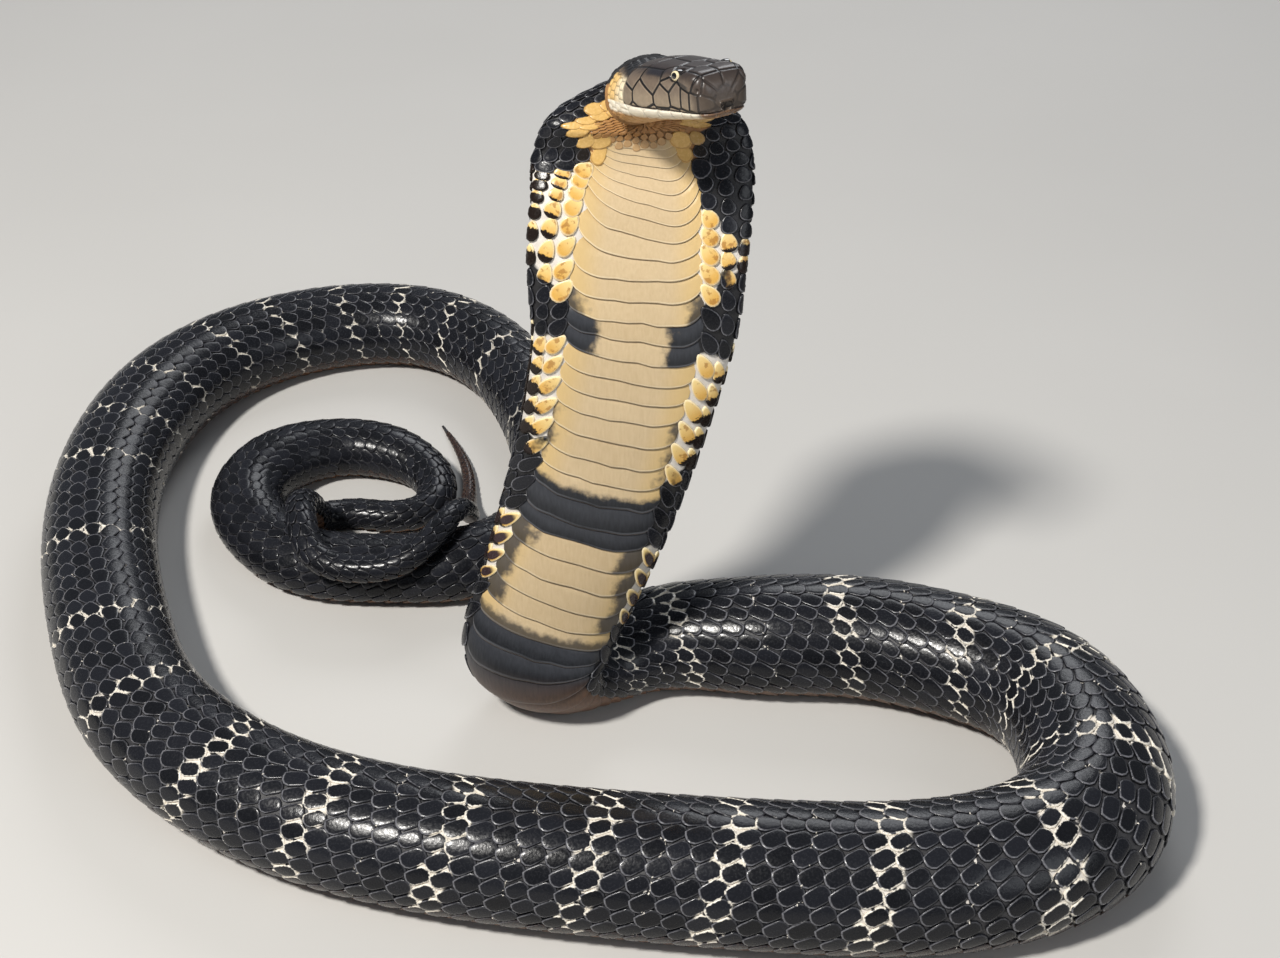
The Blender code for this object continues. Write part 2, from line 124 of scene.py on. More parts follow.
# %% Shader maths
def add_node(tree, kind, settings=None, inputs=None, output=0):
    """Adds a node, sets it up, feeds its inputs and returns one of its outputs as a Wire."""
    node = tree.nodes.new(kind)
    for key, value in (settings or {}).items():
        setattr(node, key, value)
    for key, value in (inputs or {}).items():
        socket = node.inputs[key]
        if isinstance(value, Wire):
            tree.links.new(value.socket, socket)
        elif hasattr(socket.default_value, "__len__") and len(socket.default_value) == 4:
            socket.default_value = (*value, 1)[:4]
        else:
            socket.default_value = value
    return Wire(node.outputs[output])


class Wire:
    """The output of a shader node, used like a number."""

    def __init__(self, socket):
        self.socket = socket
        self.tree = socket.id_data

    def node(self, kind, settings=None, inputs=None, output=0):
        return add_node(self.tree, kind, settings, inputs, output)

    def math(self, operation, first, second=0.0):
        return self.node("ShaderNodeMath", {"operation": operation}, {0: first, 1: second})

    def __add__(self, other):
        return self.math("ADD", self, other)

    def __sub__(self, other):
        return self.math("SUBTRACT", self, other)

    def __rsub__(self, other):
        return self.math("SUBTRACT", other, self)

    def __mul__(self, other):
        return self.math("MULTIPLY", self, other)

    __radd__, __rmul__ = __add__, __mul__

    def __abs__(self):
        return self.math("ABSOLUTE", self)

    def most(self, other):
        return self.math("MAXIMUM", self, other)

    def least(self, other):
        return self.math("MINIMUM", self, other)

    def step(self, low, high):
        """0 below low, 1 above high and smooth between; low may be the larger, for a falling step."""
        return self.node(
            "ShaderNodeMapRange", {"interpolation_type": "SMOOTHSTEP"},
            {"Value": self, "From Min": low, "From Max": high},
        )

    def mix(self, first, second):
        """A colour that goes from first to second as this mask goes from 0 to 1."""
        return self.node(
            "ShaderNodeMix", {"data_type": "RGBA"}, {"Factor": self, 6: first, 7: second}, output=2
        )


# %% [markdown]
# A finish is a material whose colour is mixed from masks. The masks come from numbers that each point of a
# mesh carries, such as its distance along the body, and from noise, which frays their borders.

# %% Parts of a finish
def noise(tree, scale, detail=3.0, stretch=(1, 1, 1)):
    """Noise in the snake's own space, from 0 to 1 round 0.5; stretch above 1 packs it along that axis."""
    place = add_node(tree, "ShaderNodeTexCoord", output=3)
    if stretch != (1, 1, 1):
        place = place.node("ShaderNodeMapping", None, {"Vector": place, "Scale": stretch})
    return place.node("ShaderNodeTexNoise", None, {"Vector": place, "Scale": scale, "Detail": detail})


def attribute(tree, name):
    """A number that the points of the mesh carry."""
    return add_node(tree, "ShaderNodeAttribute", {"attribute_name": name}, output=2)


def new_finish(name, roughness=0.4, **constants):
    """A material, its tree and its shader, with the constants set on the shader's own sockets."""
    made = bpy.data.materials.new(name)
    made.use_nodes = True
    shader = made.node_tree.nodes["Principled BSDF"]
    shader.inputs["Roughness"].default_value = roughness
    for key, value in constants.items():
        shader.inputs[key.replace("_", " ")].default_value = value
    return made, made.node_tree, shader


def feed(shader, socket, wire):
    """Links a wire to one of the shader's sockets."""
    shader.id_data.links.new(wire.socket, shader.inputs[socket])


def bump(height, strength, distance):
    """The direction of a surface roughened by a wire."""
    return height.node(
        "ShaderNodeBump", None, {"Strength": strength, "Distance": distance, "Height": height}
    )


floor_finish, tree, shader = new_finish("studio_floor", 0.9)
feed(shader, "Base Color", noise(tree, 3.0).mix((0.52, 0.507, 0.485), (0.57, 0.557, 0.535)))
floor_mesh.materials.append(floor_finish)
print("floor nodes:", [node.bl_idname for node in tree.nodes])

# %% [markdown]
# A snake is a long tube, so its shape is a route and a few profiles along it. The waypoints are the ones that
# the solids were made from, in millimetres: x, y and how high the spine is lifted over its resting height.
# A profile is a row of keys, each a distance along the body and a value there.

# %% The route and the profiles
NECK_ROUTE = (
    (53, -86, 316), (45, -72, 312), (41.5, -61, 301), (42.5, -58, 285), (43, -66, 262), (41, -76, 239),
    (40, -84, 212), (35, -88, 180), (27, -89, 143), (17, -91, 106), (6, -94, 71), (-6, -98, 38),
    (-10, -102, 17), (-1, -94, 3), (24, -78, 0),
)
BODY_ROUTE = (
    (58, -68, 0), (98, -70, 0), (149, -72, 0), (197, -86, 0), (237, -111, 0), (255, -158, 0),
    (243, -209, 0), (196, -236, 0), (130, -241, 0), (50, -234, 0), (-30, -222, 0), (-104, -201, 0),
    (-159, -169, 0), (-201, -125, 0), (-229, -66, 0), (-250, 2, 0), (-259, 72, 0), (-252, 136, 0),
    (-228, 190, 0), (-190, 226, 0), (-142, 245, 0), (-92, 243, 0), (-50, 211, 0), (-22, 155, 0),
    (-8, 90, 0), (-15, 32, 0), (-46, 4, 0), (-94, -1, 0), (-135, 4, 0), (-167, 30, 0), (-181, 66, 0),
    (-167, 100, 0), (-132, 117, 0), (-98, 110, 0), (-77, 88, 0),
)
TAIL_ROUTE = (
    (-79, 64, 0), (-99, 57, 0), (-124, 60, 0), (-138, 54, 3), (-141, 41, 18), (-142, 24, 33.5),
    (-139, 2, 36.5), (-129, -17, 28.5), (-106, -24, 26), (-82, -21, 30), (-66, -6, 38), (-56, 20, 35),
    (-53, 44, 14), (-56, 68, 3), (-58, 98, 0), (-66, 130, 0), (-80, 163, 0),
)
HALF_WIDTH = (
    (0, 18), (20, 19), (27, 29), (34, 39.5), (44, 46), (56, 48.8), (72, 49.4), (92, 49.2), (115, 48),
    (150, 44.5), (190, 42.5), (230, 41), (265, 39), (295, 37.5), (330, 36), (360, 32), (390, 28.5),
    (420, 29.5), (470, 32.5), (560, 33), (620, 34), (700, 36), (800, 35), (950, 33.5), (1100, 32),
    (1300, 30.5), (1450, 30.5), (1580, 28.5), (1700, 26.5), (1830, 23), (1960, 21.5), (2080, 20.5),
    (2160, 20.5), (2200, 18.5), (2235, 16.8), (2262, 13.6), (2285, 11.5), (2315, 9.6), (2345, 9),
    (2420, 8.2), (2480, 7.8), (2540, 6.4), (2612, 4.8), (2665, 3), (2708, 1),
)
HALF_HEIGHT = (
    (0, 14), (18, 14), (36, 13.5), (60, 13.5), (85, 15), (150, 16), (230, 19), (290, 21), (330, 21),
    (360, 22), (385, 23.5), (420, 27), (470, 30), (560, 30.5), (620, 31.5), (700, 33.5), (800, 32.5),
    (950, 31), (1100, 29.5), (1300, 28.5), (1450, 28.5), (1580, 26.5), (1700, 24.5), (1830, 21.5),
    (1950, 19.8), (2010, 17.6), (2080, 17.4), (2160, 18.8), (2200, 17), (2235, 15.6), (2262, 12.6),
    (2285, 10.7), (2315, 9), (2345, 8.4), (2420, 7.7), (2480, 7.3), (2540, 6), (2612, 4.5), (2665, 2.8),
    (2708, 1),
)
REST_SHARE = 0.85  # of the half height, at which the spine rests over the floor
RIM_FORWARD = ((0, 0), (30, 3), (62, 8), (120, 9), (190, 7), (260, 4), (330, 0))
RIM_THINNING = ((0, 1), (46, 1.15), (85, 1.3), (190, 1.2), (290, 1), (330, 1))
BELLY = (
    (0, (0.12, -0.16, -0.98)), (18, (0.12, -0.45, -0.85)), (50, (0.03, -0.97, -0.2)), (80, (0, -1, 0)),
    (200, (-0.03, -1, 0)), (270, (-0.1, -1, -0.1)), (315, (-0.25, -0.95, -0.2)), (340, (-0.3, -0.8, -0.5)),
    (362, (-0.2, -0.4, -0.9)), (385, (0, 0, -1)), (2712, (0, 0, -1)),
)
print("waypoints:", len(NECK_ROUTE + BODY_ROUTE + TAIL_ROUTE))

# %% [markdown]
# Two kinds of curve are needed. The route is a natural cubic spline, which bends as evenly as a long muscle
# does. The profiles must not swing past their keys, so they take slopes that keep each stretch within them.

# %% Curves and the spine
def spline(points, at):
    """A natural cubic spline through points, read at the shares at (0 to 1) of its chord length."""
    points = np.asarray(points, float)
    knots = np.concatenate([[0], np.cumsum(np.linalg.norm(np.diff(points, axis=0), axis=1))])
    step = np.diff(knots)
    count = len(points)
    matrix, right = np.eye(count), np.zeros_like(points)
    for i in range(1, count - 1):
        matrix[i, i - 1 : i + 2] = step[i - 1], 2 * (step[i - 1] + step[i]), step[i]
        right[i] = 6 * (
            (points[i + 1] - points[i]) / step[i] - (points[i] - points[i - 1]) / step[i - 1]
        )
    bend = np.linalg.solve(matrix, right)
    where = at * knots[-1]
    i = np.clip(np.searchsorted(knots, where, side="right") - 1, 0, count - 2)
    a = ((knots[i + 1] - where) / step[i])[:, None]
    b = 1 - a
    square = (step[i] ** 2)[:, None] / 6
    return a * points[i] + b * points[i + 1] + ((a**3 - a) * bend[i] + (b**3 - b) * bend[i + 1]) * square


def hermite(t, start, leave, end, arrive):
    """A curve from start to end as t goes from 0 to 1, with the slope leave first and arrive last."""
    return (
        (2 * t**3 - 3 * t**2 + 1) * start + (t**3 - 2 * t**2 + t) * leave
        + (3 * t**2 - 2 * t**3) * end + (t**3 - t**2) * arrive
    )


def smooth(keys, at):
    """A curve through keys (place, value) with no overshoot, read at the places at, both in mm."""
    places = np.array([key[0] for key in keys], float)
    values = np.array([key[1] for key in keys], float).reshape(len(keys), -1)
    rise = np.diff(values, axis=0) / np.diff(places)[:, None]
    slope = np.zeros_like(values)
    same_way = rise[:-1] * rise[1:] > 0
    mean = 2 * rise[:-1] * rise[1:] / np.where(same_way, rise[:-1] + rise[1:], 1)
    slope[1:-1] = np.where(same_way, mean, 0)
    slope[0], slope[-1] = rise[0], rise[-1]
    at = np.clip(np.atleast_1d(np.asarray(at, float)), places[0], places[-1])
    i = np.clip(np.searchsorted(places, at, side="right") - 1, 0, len(places) - 2)
    width = np.diff(places)[i][:, None]
    t = ((at - places[i]) / np.diff(places)[i])[:, None]
    result = hermite(t, values[i], width * slope[i], values[i + 1], width * slope[i + 1])
    return result[:, 0] if result.shape[1] == 1 else result


def profile(keys, at):
    """A curve through keys in mm, read at the places at in metres and given in metres."""
    return smooth(keys, np.asarray(at) / MM) * MM


def line_lengths(line):
    """How far each point of a line is from its start."""
    return np.concatenate([[0], np.cumsum(np.linalg.norm(np.diff(line, axis=0), axis=1))])


route_line = spline(np.array(NECK_ROUTE + BODY_ROUTE + TAIL_ROUTE, float) * MM, np.linspace(0, 1, 6000))
route_line[:, 2] = np.maximum(route_line[:, 2], 0)
spine = route_line
for _ in range(3):
    rest = REST_SHARE * profile(HALF_HEIGHT, line_lengths(spine))
    spine = route_line + rest[:, None] * (0, 0, 1)
spine_along = line_lengths(spine)
spine_forward = np.gradient(spine, spine_along, axis=0)
BODY_LENGTH = float(spine_along[-1])
print(f"the body is {BODY_LENGTH:.3f} m long behind the head")

# %% [markdown]
# The head has its own axis, from the front of the lip back to the nape, and its own profiles: half width,
# height over the mouth line and depth under it. Points on it are given as back, right and up in millimetres.

# %% The head's axes
HEAD_TIP = Vector((77 * MM, -127 * MM, 341.2 * MM))
HEAD_YAW, HEAD_PITCH, HEAD_ROLL = (math.radians(angle) for angle in (60, 14, 0.5))
HEAD_LENGTH = 66 * MM
EYE_BACK, EYE_UP, EYE_RADIUS, EYE_SUNK = 17 * MM, 14.2 * MM, 3 * MM, 2.2 * MM
HEAD_WIDTH = (
    (0, 2), (0.5, 8), (1.4, 10.6), (3, 12.3), (7, 13.9), (12, 14.8), (19, 15.5), (28, 17), (38, 19.2),
    (48, 20), (57, 19.4), (66, 19),
)
HEAD_TOP = (
    (0, 2), (0.5, 9.4), (1.4, 12.6), (3, 15), (7, 16.4), (12, 16.6), (19, 16.4), (28, 16.6), (38, 16.6),
    (48, 15.8), (57, 14.6), (66, 13.6),
)
HEAD_DEPTH = (
    (0, 0.6), (0.5, 1.2), (1.4, 2), (3, 2.8), (7, 3.8), (12, 4.6), (19, 5.4), (28, 6.4), (38, 7.8),
    (48, 9.8), (57, 12), (66, 13),
)
JAW_INSET = ((0, 0.6), (1.4, 1), (7, 0.8), (19, 0.4), (38, 0), (66, 0))
SNOUT_LEAN = ((0, 1.5), (12, 1.3), (26, 0))
HEAD_SQUARE = ((0, 0.38), (7, 0.34), (19, 0.42), (32, 0.6), (48, 0.78), (66, 0.95))

head_forward = np.array((
    math.cos(HEAD_YAW) * math.cos(HEAD_PITCH), -math.sin(HEAD_YAW) * math.cos(HEAD_PITCH),
    math.sin(HEAD_PITCH),
))
level_right = np.array((-math.sin(HEAD_YAW), -math.cos(HEAD_YAW), 0))
level_up = np.cross(level_right, head_forward)
head_right = level_right * math.cos(HEAD_ROLL) + level_up * math.sin(HEAD_ROLL)
head_up = np.cross(head_right, head_forward)


def head_point(back, right, up):
    """World points of head places in metres; back, right and up may be arrays of one shape."""
    back, right, up = (np.asarray(value, float)[..., None] for value in (back, right, up))
    return np.array(HEAD_TIP) - head_forward * back + head_right * right + head_up * up


def head_side(back, up):
    """How far the side of the head is from its middle, at a height over the mouth line."""
    square = 2 / float(smooth(HEAD_SQUARE, back / MM)[0])
    rise = up / float(profile(HEAD_TOP, back)[0])
    width = float(profile(HEAD_WIDTH, back)[0]) - float(profile(SNOUT_LEAN, back)[0]) * (1 - rise)
    return width * (1 - rise**square) ** (1 / square)


# %% [markdown]
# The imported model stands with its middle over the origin, and the waypoints do not. The eye is a small solid
# whose place is known in both, so it gives the shift between them.

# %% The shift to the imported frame
eye_side = head_side(EYE_BACK, EYE_UP) - EYE_SUNK
eye_places = {
    "right": head_point(EYE_BACK, eye_side, EYE_UP),
    "left": head_point(EYE_BACK, -eye_side, EYE_UP),
}
corners = np.array(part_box("eye_right"), float)
FRAME_SHIFT = corners.mean(axis=0) - eye_places["right"]
print("the packed frame is moved by", np.round(FRAME_SHIFT / MM, 3), "mm")

# %% [markdown]
# All that grows on the body needs one thing: the point of the surface at a distance along the body and a place
# around it. `SURFACE` is that map as a table. Around goes from 0 at the middle of the back to 1 at the middle
# of the belly on the left and -1 on the right, by length of skin, so that scales keep an even width even on
# the flat hood. First come the cross-sections of body and head.

# %% Cross-sections
NECK_START = 21.0  # mm along the route, where the head's solid ends
AROUND_COUNT = 257  # columns of the table, from -1 to 1
RING_COUNT = 721  # points of a section of the body
CROWN_COUNT, CHIN_COUNT = 361, 180  # points of a section of the head over and under the mouth


def signed_power(value, power):
    """A power that keeps the sign, to square off or sharpen a circle's sine and cosine."""
    return np.sign(value) * np.abs(value) ** power


def section_rings(places):
    """Cross-sections of the body at places in metres, from the belly's middle over the left side."""
    centre = np.stack([np.interp(places, spine_along, spine[:, k]) for k in range(3)], 1)
    tangent = np.stack([np.interp(places, spine_along, spine_forward[:, k]) for k in range(3)], 1)
    tangent /= np.linalg.norm(tangent, axis=1)[:, None]
    belly = smooth(BELLY, places / MM)
    belly -= (belly * tangent).sum(1)[:, None] * tangent
    belly /= np.linalg.norm(belly, axis=1)[:, None]
    left = np.cross(tangent, belly)
    angle = np.linspace(-0.5 * math.pi, 1.5 * math.pi, RING_COUNT)
    across = np.cos(angle)[None]
    up = signed_power(np.sin(angle)[None], smooth(RIM_THINNING, places / MM)[:, None])
    sideways = profile(HALF_WIDTH, places)[:, None] * across
    forward = profile(RIM_FORWARD, places)[:, None] * across**2 - profile(HALF_HEIGHT, places)[:, None] * up
    rings = centre[:, None] + sideways[..., None] * left[:, None] + forward[..., None] * belly[:, None]
    rings[..., 2] = np.maximum(rings[..., 2], 0)
    return rings


def even_ring(ring, count=AROUND_COUNT):
    """A ring from belly to belly over the back, as count points at even lengths, and half its girth."""
    middle = len(ring) // 2
    reach = line_lengths(ring)
    left, right = reach[middle], reach[-1] - reach[middle]
    around = np.where(reach < left, 1 - reach / left, -(reach - left) / right)
    wanted = np.linspace(-1, 1, count)
    order = np.argsort(around)
    points = np.stack([np.interp(wanted, around[order], ring[order, k]) for k in range(3)], 1)
    return points, (left + right) / 2


def head_section(back):
    """A closed section of the head as (right, up), from the chin's middle over the left side."""
    width, top, depth = (float(profile(keys, back)[0]) for keys in (HEAD_WIDTH, HEAD_TOP, HEAD_DEPTH))
    square = float(smooth(HEAD_SQUARE, back / MM)[0])
    lean = float(profile(SNOUT_LEAN, back)[0])
    chin_width = width - lean - float(profile(JAW_INSET, back)[0])
    chin = np.linspace(-0.5 * math.pi, 0, CHIN_COUNT)
    crown = np.linspace(0, math.pi, CROWN_COUNT)
    rise = signed_power(np.sin(crown), square)
    lower = np.stack(
        [chin_width * signed_power(np.cos(chin), 0.75), depth * signed_power(np.sin(chin), 0.9)], 1
    )
    upper = np.stack([(width - lean * (1 - rise)) * signed_power(np.cos(crown), square), top * rise], 1)
    return np.concatenate([lower * (-1, 1), upper * (-1, 1), lower[::-1]])


# %% [markdown]
# The table has a row for every 1.5 mm of body. Between the head and the neck it is a smooth bridge: each line
# leaves the head's last section straight, and arrives at the neck's first in the neck's own direction.

# %% The table of the body's surface
BRIDGE_END = 35.0
ROW_STEP = 1.5

row_places = np.arange(BRIDGE_END, BODY_LENGTH / MM, ROW_STEP)
rings = section_rings(row_places * MM)
even = [even_ring(ring) for ring in rings]
table_points = np.array([points for points, _ in even])
table_girth = np.array([girth for _, girth in even])

base_section = head_section(HEAD_LENGTH)
head_base, base_girth = even_ring(head_point(HEAD_LENGTH, base_section[:, 0], base_section[:, 1]))
bridge_places = np.arange(NECK_START, BRIDGE_END, ROW_STEP / 2)
leave = -head_forward * (BRIDGE_END - NECK_START) * MM * 0.9
arrive = (table_points[3] - table_points[0]) / (3 * ROW_STEP) * (BRIDGE_END - NECK_START)
bridge = [
    hermite(t, head_base, leave, table_points[0], arrive)
    for t in (bridge_places - NECK_START) / (BRIDGE_END - NECK_START)
]
SURFACE_ALONG = np.concatenate([bridge_places, row_places])
SURFACE = np.concatenate([bridge, table_points]) + FRAME_SHIFT
girth_start = np.interp(bridge_places, (NECK_START, BRIDGE_END), (base_girth, table_girth[0]))
GIRTH = np.concatenate([girth_start, table_girth]) / MM

across_step = np.gradient(SURFACE, axis=1)
along_step = np.gradient(SURFACE, SURFACE_ALONG, axis=0)
OUTWARD = np.cross(across_step, along_step)
OUTWARD /= np.linalg.norm(OUTWARD, axis=2)[..., None] + 1e-12
LOW_ROW = 400  # where the body rests on the floor, so that outward at the middle of the back is up
if OUTWARD[LOW_ROW, AROUND_COUNT // 2, 2] < 0:
    OUTWARD = -OUTWARD
print("surface table", SURFACE.shape)

# %% Reading the table
FLOOR_GAP = 0.00005  # metres that every point keeps over the floor


def read_table(table, along, around):
    """The table's values at distances along (mm) and places around, between its points."""
    row = np.interp(along, SURFACE_ALONG, np.arange(len(SURFACE_ALONG)))
    i = np.clip(row.astype(int), 0, len(SURFACE_ALONG) - 2)
    column = (np.clip(around, -1, 1) + 1) / 2 * (AROUND_COUNT - 1)
    j = np.clip(column.astype(int), 0, AROUND_COUNT - 2)
    a, b = (row - i)[..., None], (column - j)[..., None]
    return (
        table[i, j] * (1 - a) * (1 - b) + table[i + 1, j] * a * (1 - b)
        + table[i, j + 1] * (1 - a) * b + table[i + 1, j + 1] * a * b
    )


def wrap_around(around):
    """A place around brought back between -1 and 1, across the middle of the belly."""
    return (around + 1) % 2 - 1


def surface_points(along, around, height):
    """World points over the body: height in mm out from the solids' surface."""
    around = wrap_around(around)
    points = read_table(SURFACE, along, around)
    outward = read_table(OUTWARD, along, around)
    outward /= np.linalg.norm(outward, axis=-1)[..., None]
    points = points + outward * np.asarray(height)[..., None] * MM
    points[..., 2] = np.maximum(points[..., 2], FLOOR_GAP)
    return points


print("the tip of the tail:", np.round(surface_points(BODY_LENGTH / MM, 0.0, 0.0), 4))

# %% [markdown]
# The belly plates cover a band on either side of the belly's middle. Its half width was read off the photo on
# the raised neck, and follows the body's width behind it. The pale bands of the body are listed by where they
# cross its side, and run askew.

# %% Belly band and pale bands
BELLY_HALF = (
    (20, 9), (30, 12), (40, 16), (57, 19.5), (83, 25.5), (110, 28), (138, 30), (167, 29.5), (190, 29),
    (228, 31), (260, 33.5), (300, 35), (345, 34), (385, 30), (420, 30), (470, 33), (700, 34), (1300, 29),
    (1830, 22), (2160, 19), (2262, 12.5), (2345, 8.5), (2540, 6), (2712, 1),
)
PALE_BANDS = (
    376, 417, 501, 565, 616, 678, 740, 811, 877, 935, 998, 1059, 1118, 1183, 1243, 1315, 1388, 1433, 1480,
    1533, 1578, 1623, 1663, 1703, 1752, 1820,
)
BAND_SLANT = 24.0  # mm by which a pale band lies nearer to the tail at the belly than at the back
BAND_PIVOT = 0.35  # place around at which a band lies at the distance given for it


def belly_edge(along):
    """The place around where the belly plates end."""
    girth = np.interp(along, SURFACE_ALONG, GIRTH)
    half = smooth(BELLY_HALF, np.ravel(along)).reshape(np.shape(along))
    return 1 - half / girth


def nearest_band(along, around):
    """Signed distance in mm to the middle of the nearest pale band."""
    bands = np.array(PALE_BANDS, float)
    gap = (along - BAND_SLANT * (np.abs(wrap_around(around)) - BAND_PIVOT))[..., None] - bands
    nearest = np.abs(gap).argmin(axis=-1)
    return np.take_along_axis(gap, nearest[..., None], -1)[..., 0]


print(len(PALE_BANDS), "pale bands; plates end at", round(float(belly_edge(700.0)), 3), "on the body")

# %% [markdown]
# Each piece gets a map onto a square picture. The skin's map cuts the long tube into strips laid side by side.
# A scale is a small patch at its own place on that map.
# Meshes of this size are quickest made from whole arrays, through `foreach_set`.

# %% Maps and meshes
STRIPS = 10
STRIP_LENGTH = BODY_LENGTH / MM / STRIPS
PATCH = 0.003  # size on the map of the patch of one scale


def skin_map(along, around):
    """Where a place on the skin lies on the square map, with a margin round each strip."""
    strip = np.clip(np.floor(np.asarray(along) / STRIP_LENGTH), 0, STRIPS - 1)
    u = 0.02 + 0.96 * (along / STRIP_LENGTH - strip)
    v = (strip + 0.05 + 0.9 * (around + 1) / 2) / (STRIPS + 1)
    return np.stack(np.broadcast_arrays(u, v), -1)


def mesh_piece(name, points, faces, finish, marks, uv):
    """A mesh object from arrays: marks are named numbers per point, uv a place per point."""
    mesh = bpy.data.meshes.new(name)
    sizes = np.array([len(face) for face in faces])
    corners = np.concatenate(faces).astype(np.int32)
    mesh.vertices.add(len(points))
    mesh.vertices.foreach_set("co", np.asarray(points, np.float32).ravel())
    mesh.loops.add(len(corners))
    mesh.loops.foreach_set("vertex_index", corners)
    mesh.polygons.add(len(sizes))
    mesh.polygons.foreach_set("loop_start", (np.cumsum(sizes) - sizes).astype(np.int32))
    mesh.update(calc_edges=True)
    mesh.polygons.foreach_set("use_smooth", np.ones(len(sizes), bool))
    for key, values in marks.items():
        layer = mesh.attributes.new(key, "FLOAT", "POINT")
        layer.data.foreach_set("value", np.asarray(values, np.float32).ravel())
    layer = mesh.uv_layers.new(name="OFBake")
    layer.data.foreach_set("uv", np.asarray(uv, np.float32)[corners].ravel())
    mesh.materials.append(finish)
    mesh.validate()
    made = add_object(name, mesh)
    print(name, len(points), "points", len(sizes), "faces")
    return made


def grid_faces(rows, columns, closed=False, flip=False):
    """Quads of a grid of points, closed round its columns if asked."""
    i, j = np.meshgrid(np.arange(rows - 1), np.arange(columns if closed else columns - 1), indexing="ij")
    k = (j + 1) % columns
    quads = np.stack([i * columns + j, i * columns + k, (i + 1) * columns + k, (i + 1) * columns + j], -1)
    quads = quads.reshape(-1, 4)
    return quads[:, ::-1] if flip else quads


def tube_faces(rows, columns):
    """Quads of a tube of rings, and one face over each of its ends."""
    first = np.arange(columns)
    return [*grid_faces(rows, columns, closed=True), first[::-1], first + (rows - 1) * columns]


print("strips of the map:", STRIPS, "each", round(STRIP_LENGTH), "mm long")

# %% [markdown]
# The markings are the same on skin and coat: black, crossed by narrow pale bands in the skin between scales.
# On the spread hood the pale bands widen towards the belly into white and ochre patches, between black ones.

# %% Markings
HOOD_PALE = (  # mm along: starts at the belly (left, right) and the rim (left, right), ends at rim and belly
    (61, 79, 61, 92, 104, 121), (138.5, 138.5, 137, 137, 190, 204), (240, 240, 236, 236, 280, 291),
)
HOOD_END = 312.0
THIN_HALF = 3.0  # half the width of a hood band where it crosses the back
THROAT_AT_HEAD, THROAT_SHIFT = 0.36, 0.40  # place around of the throat's border, and how far it moves


def hood_patch(tree, along, around):
    """1 in the pale patches at the sides of the hood, narrowing to thin bands over the back."""
    left = around.step(-0.02, 0.02)
    inner = abs(around).step(0.55, 0.76)
    reach = abs(around).step(0.2, 0.48)
    wobble = (noise(tree, 110.0) - 0.5) * 8.0
    patches = []
    for belly_left, belly_right, rim_left, rim_right, end_rim, end_belly in HOOD_PALE:
        at_rim = left * (rim_left - rim_right) + rim_right
        at_belly = left * (belly_left - belly_right) + belly_right
        start = at_rim + (at_belly - at_rim) * inner
        end = inner * (end_belly - end_rim) + end_rim
        half = ((end - start) * 0.5 - THIN_HALF) * reach + THIN_HALF
        patches.append((abs(along + wobble - (start + end) * 0.5) - half).step(0.8, -0.8))
    return reduce(Wire.most, patches)


def hood_mask(along):
    """1 on the hood and 0 behind it."""
    return along.step(HOOD_END + 15, HOOD_END)


def throat_border(along):
    """The place around where the throat's small scales begin, for distances along in mm."""
    return THROAT_AT_HEAD + THROAT_SHIFT * np.clip((along - 18) / 26, 0, 1)


def throat_mask(along, around, inward=0.0):
    """1 where the throat's small scales lie, before the first belly plate; inward narrows it."""
    border = along.step(16, 46) * THROAT_SHIFT + (THROAT_AT_HEAD + inward)
    return (abs(around) - border).step(-0.012, 0.012) * along.step(60, 57)


def band_mask(tree, to_band, along):
    """1 in the pale bands of the body behind the hood, fading out on the tail."""
    wobble = (noise(tree, 120.0) - 0.5) * 5.0
    half = along.step(1350, 950) * 3.0 + 4.2
    inside = (abs(to_band + wobble) - half).step(1.0, -1.0)
    broken = noise(tree, 210.0, 1.0).step(0.40, 0.45)
    return inside * broken * along.step(HOOD_END, HOOD_END + 15) * along.step(1950, 1700)


# %% The finish of the skin
def skin_finish():
    """Dark skin between the scales, pale in the bands, brown along the belly as a painted reflection of brown
    earth, and orange on the throat, darkened there with painted shade.
    """
    made, tree, shader = new_finish("snake_skin", 0.5)
    along, around, to_band = (attribute(tree, name) for name in ("along", "around", "to_band"))
    mottle = noise(tree, 220.0)
    dark = mottle.mix((0.010, 0.010, 0.012), (0.048, 0.047, 0.051))
    dark = hood_mask(along).mix(dark, mottle.mix((0.004, 0.004, 0.005), (0.018, 0.0175, 0.02)))
    white = mottle.mix((0.54, 0.49, 0.43), (0.82, 0.78, 0.73))
    pale = band_mask(tree, to_band, along).most(hood_patch(tree, along, around) * hood_mask(along))
    colour = pale.mix(dark, white)
    # Brown low along the belly sides behind the hood: a painted reflection of the brown earth.
    low = abs(around).step(0.66, 0.76) * along.step(HOOD_END + 10, 360)
    colour = low.mix(colour, mottle.mix((0.16, 0.075, 0.03), (0.34, 0.19, 0.09)))
    # The throat's own orange, darkened with painted shade from under the jaw.
    colour = throat_mask(along, around).mix(colour, mottle.mix((0.27, 0.125, 0.04), (0.46, 0.25, 0.10)))
    feed(shader, "Base Color", colour)
    feed(shader, "Normal", bump(noise(tree, 1400.0), 0.35, 0.0004))
    return made


SKIN = skin_finish()
print(SKIN.name, "has", len(SKIN.node_tree.nodes), "nodes")

# %% [markdown]
# One skin covers the animal from the snout to the tip of the tail. It lies a millimetre inside the solids,
# which is how deep the scales are, and up to twice that on the head, to clear the nostrils and the mouth. It
# follows the head's sections into the neck's.

# %% The skin
COAT_DEPTH = 1.0
HEAD_INSET = ((50, 1.9), (66, 1.0))  # back from the lip, and how deep the skin lies there, in mm
SKIN_COLUMNS = 97
HEAD_SKIN_ROWS = 70


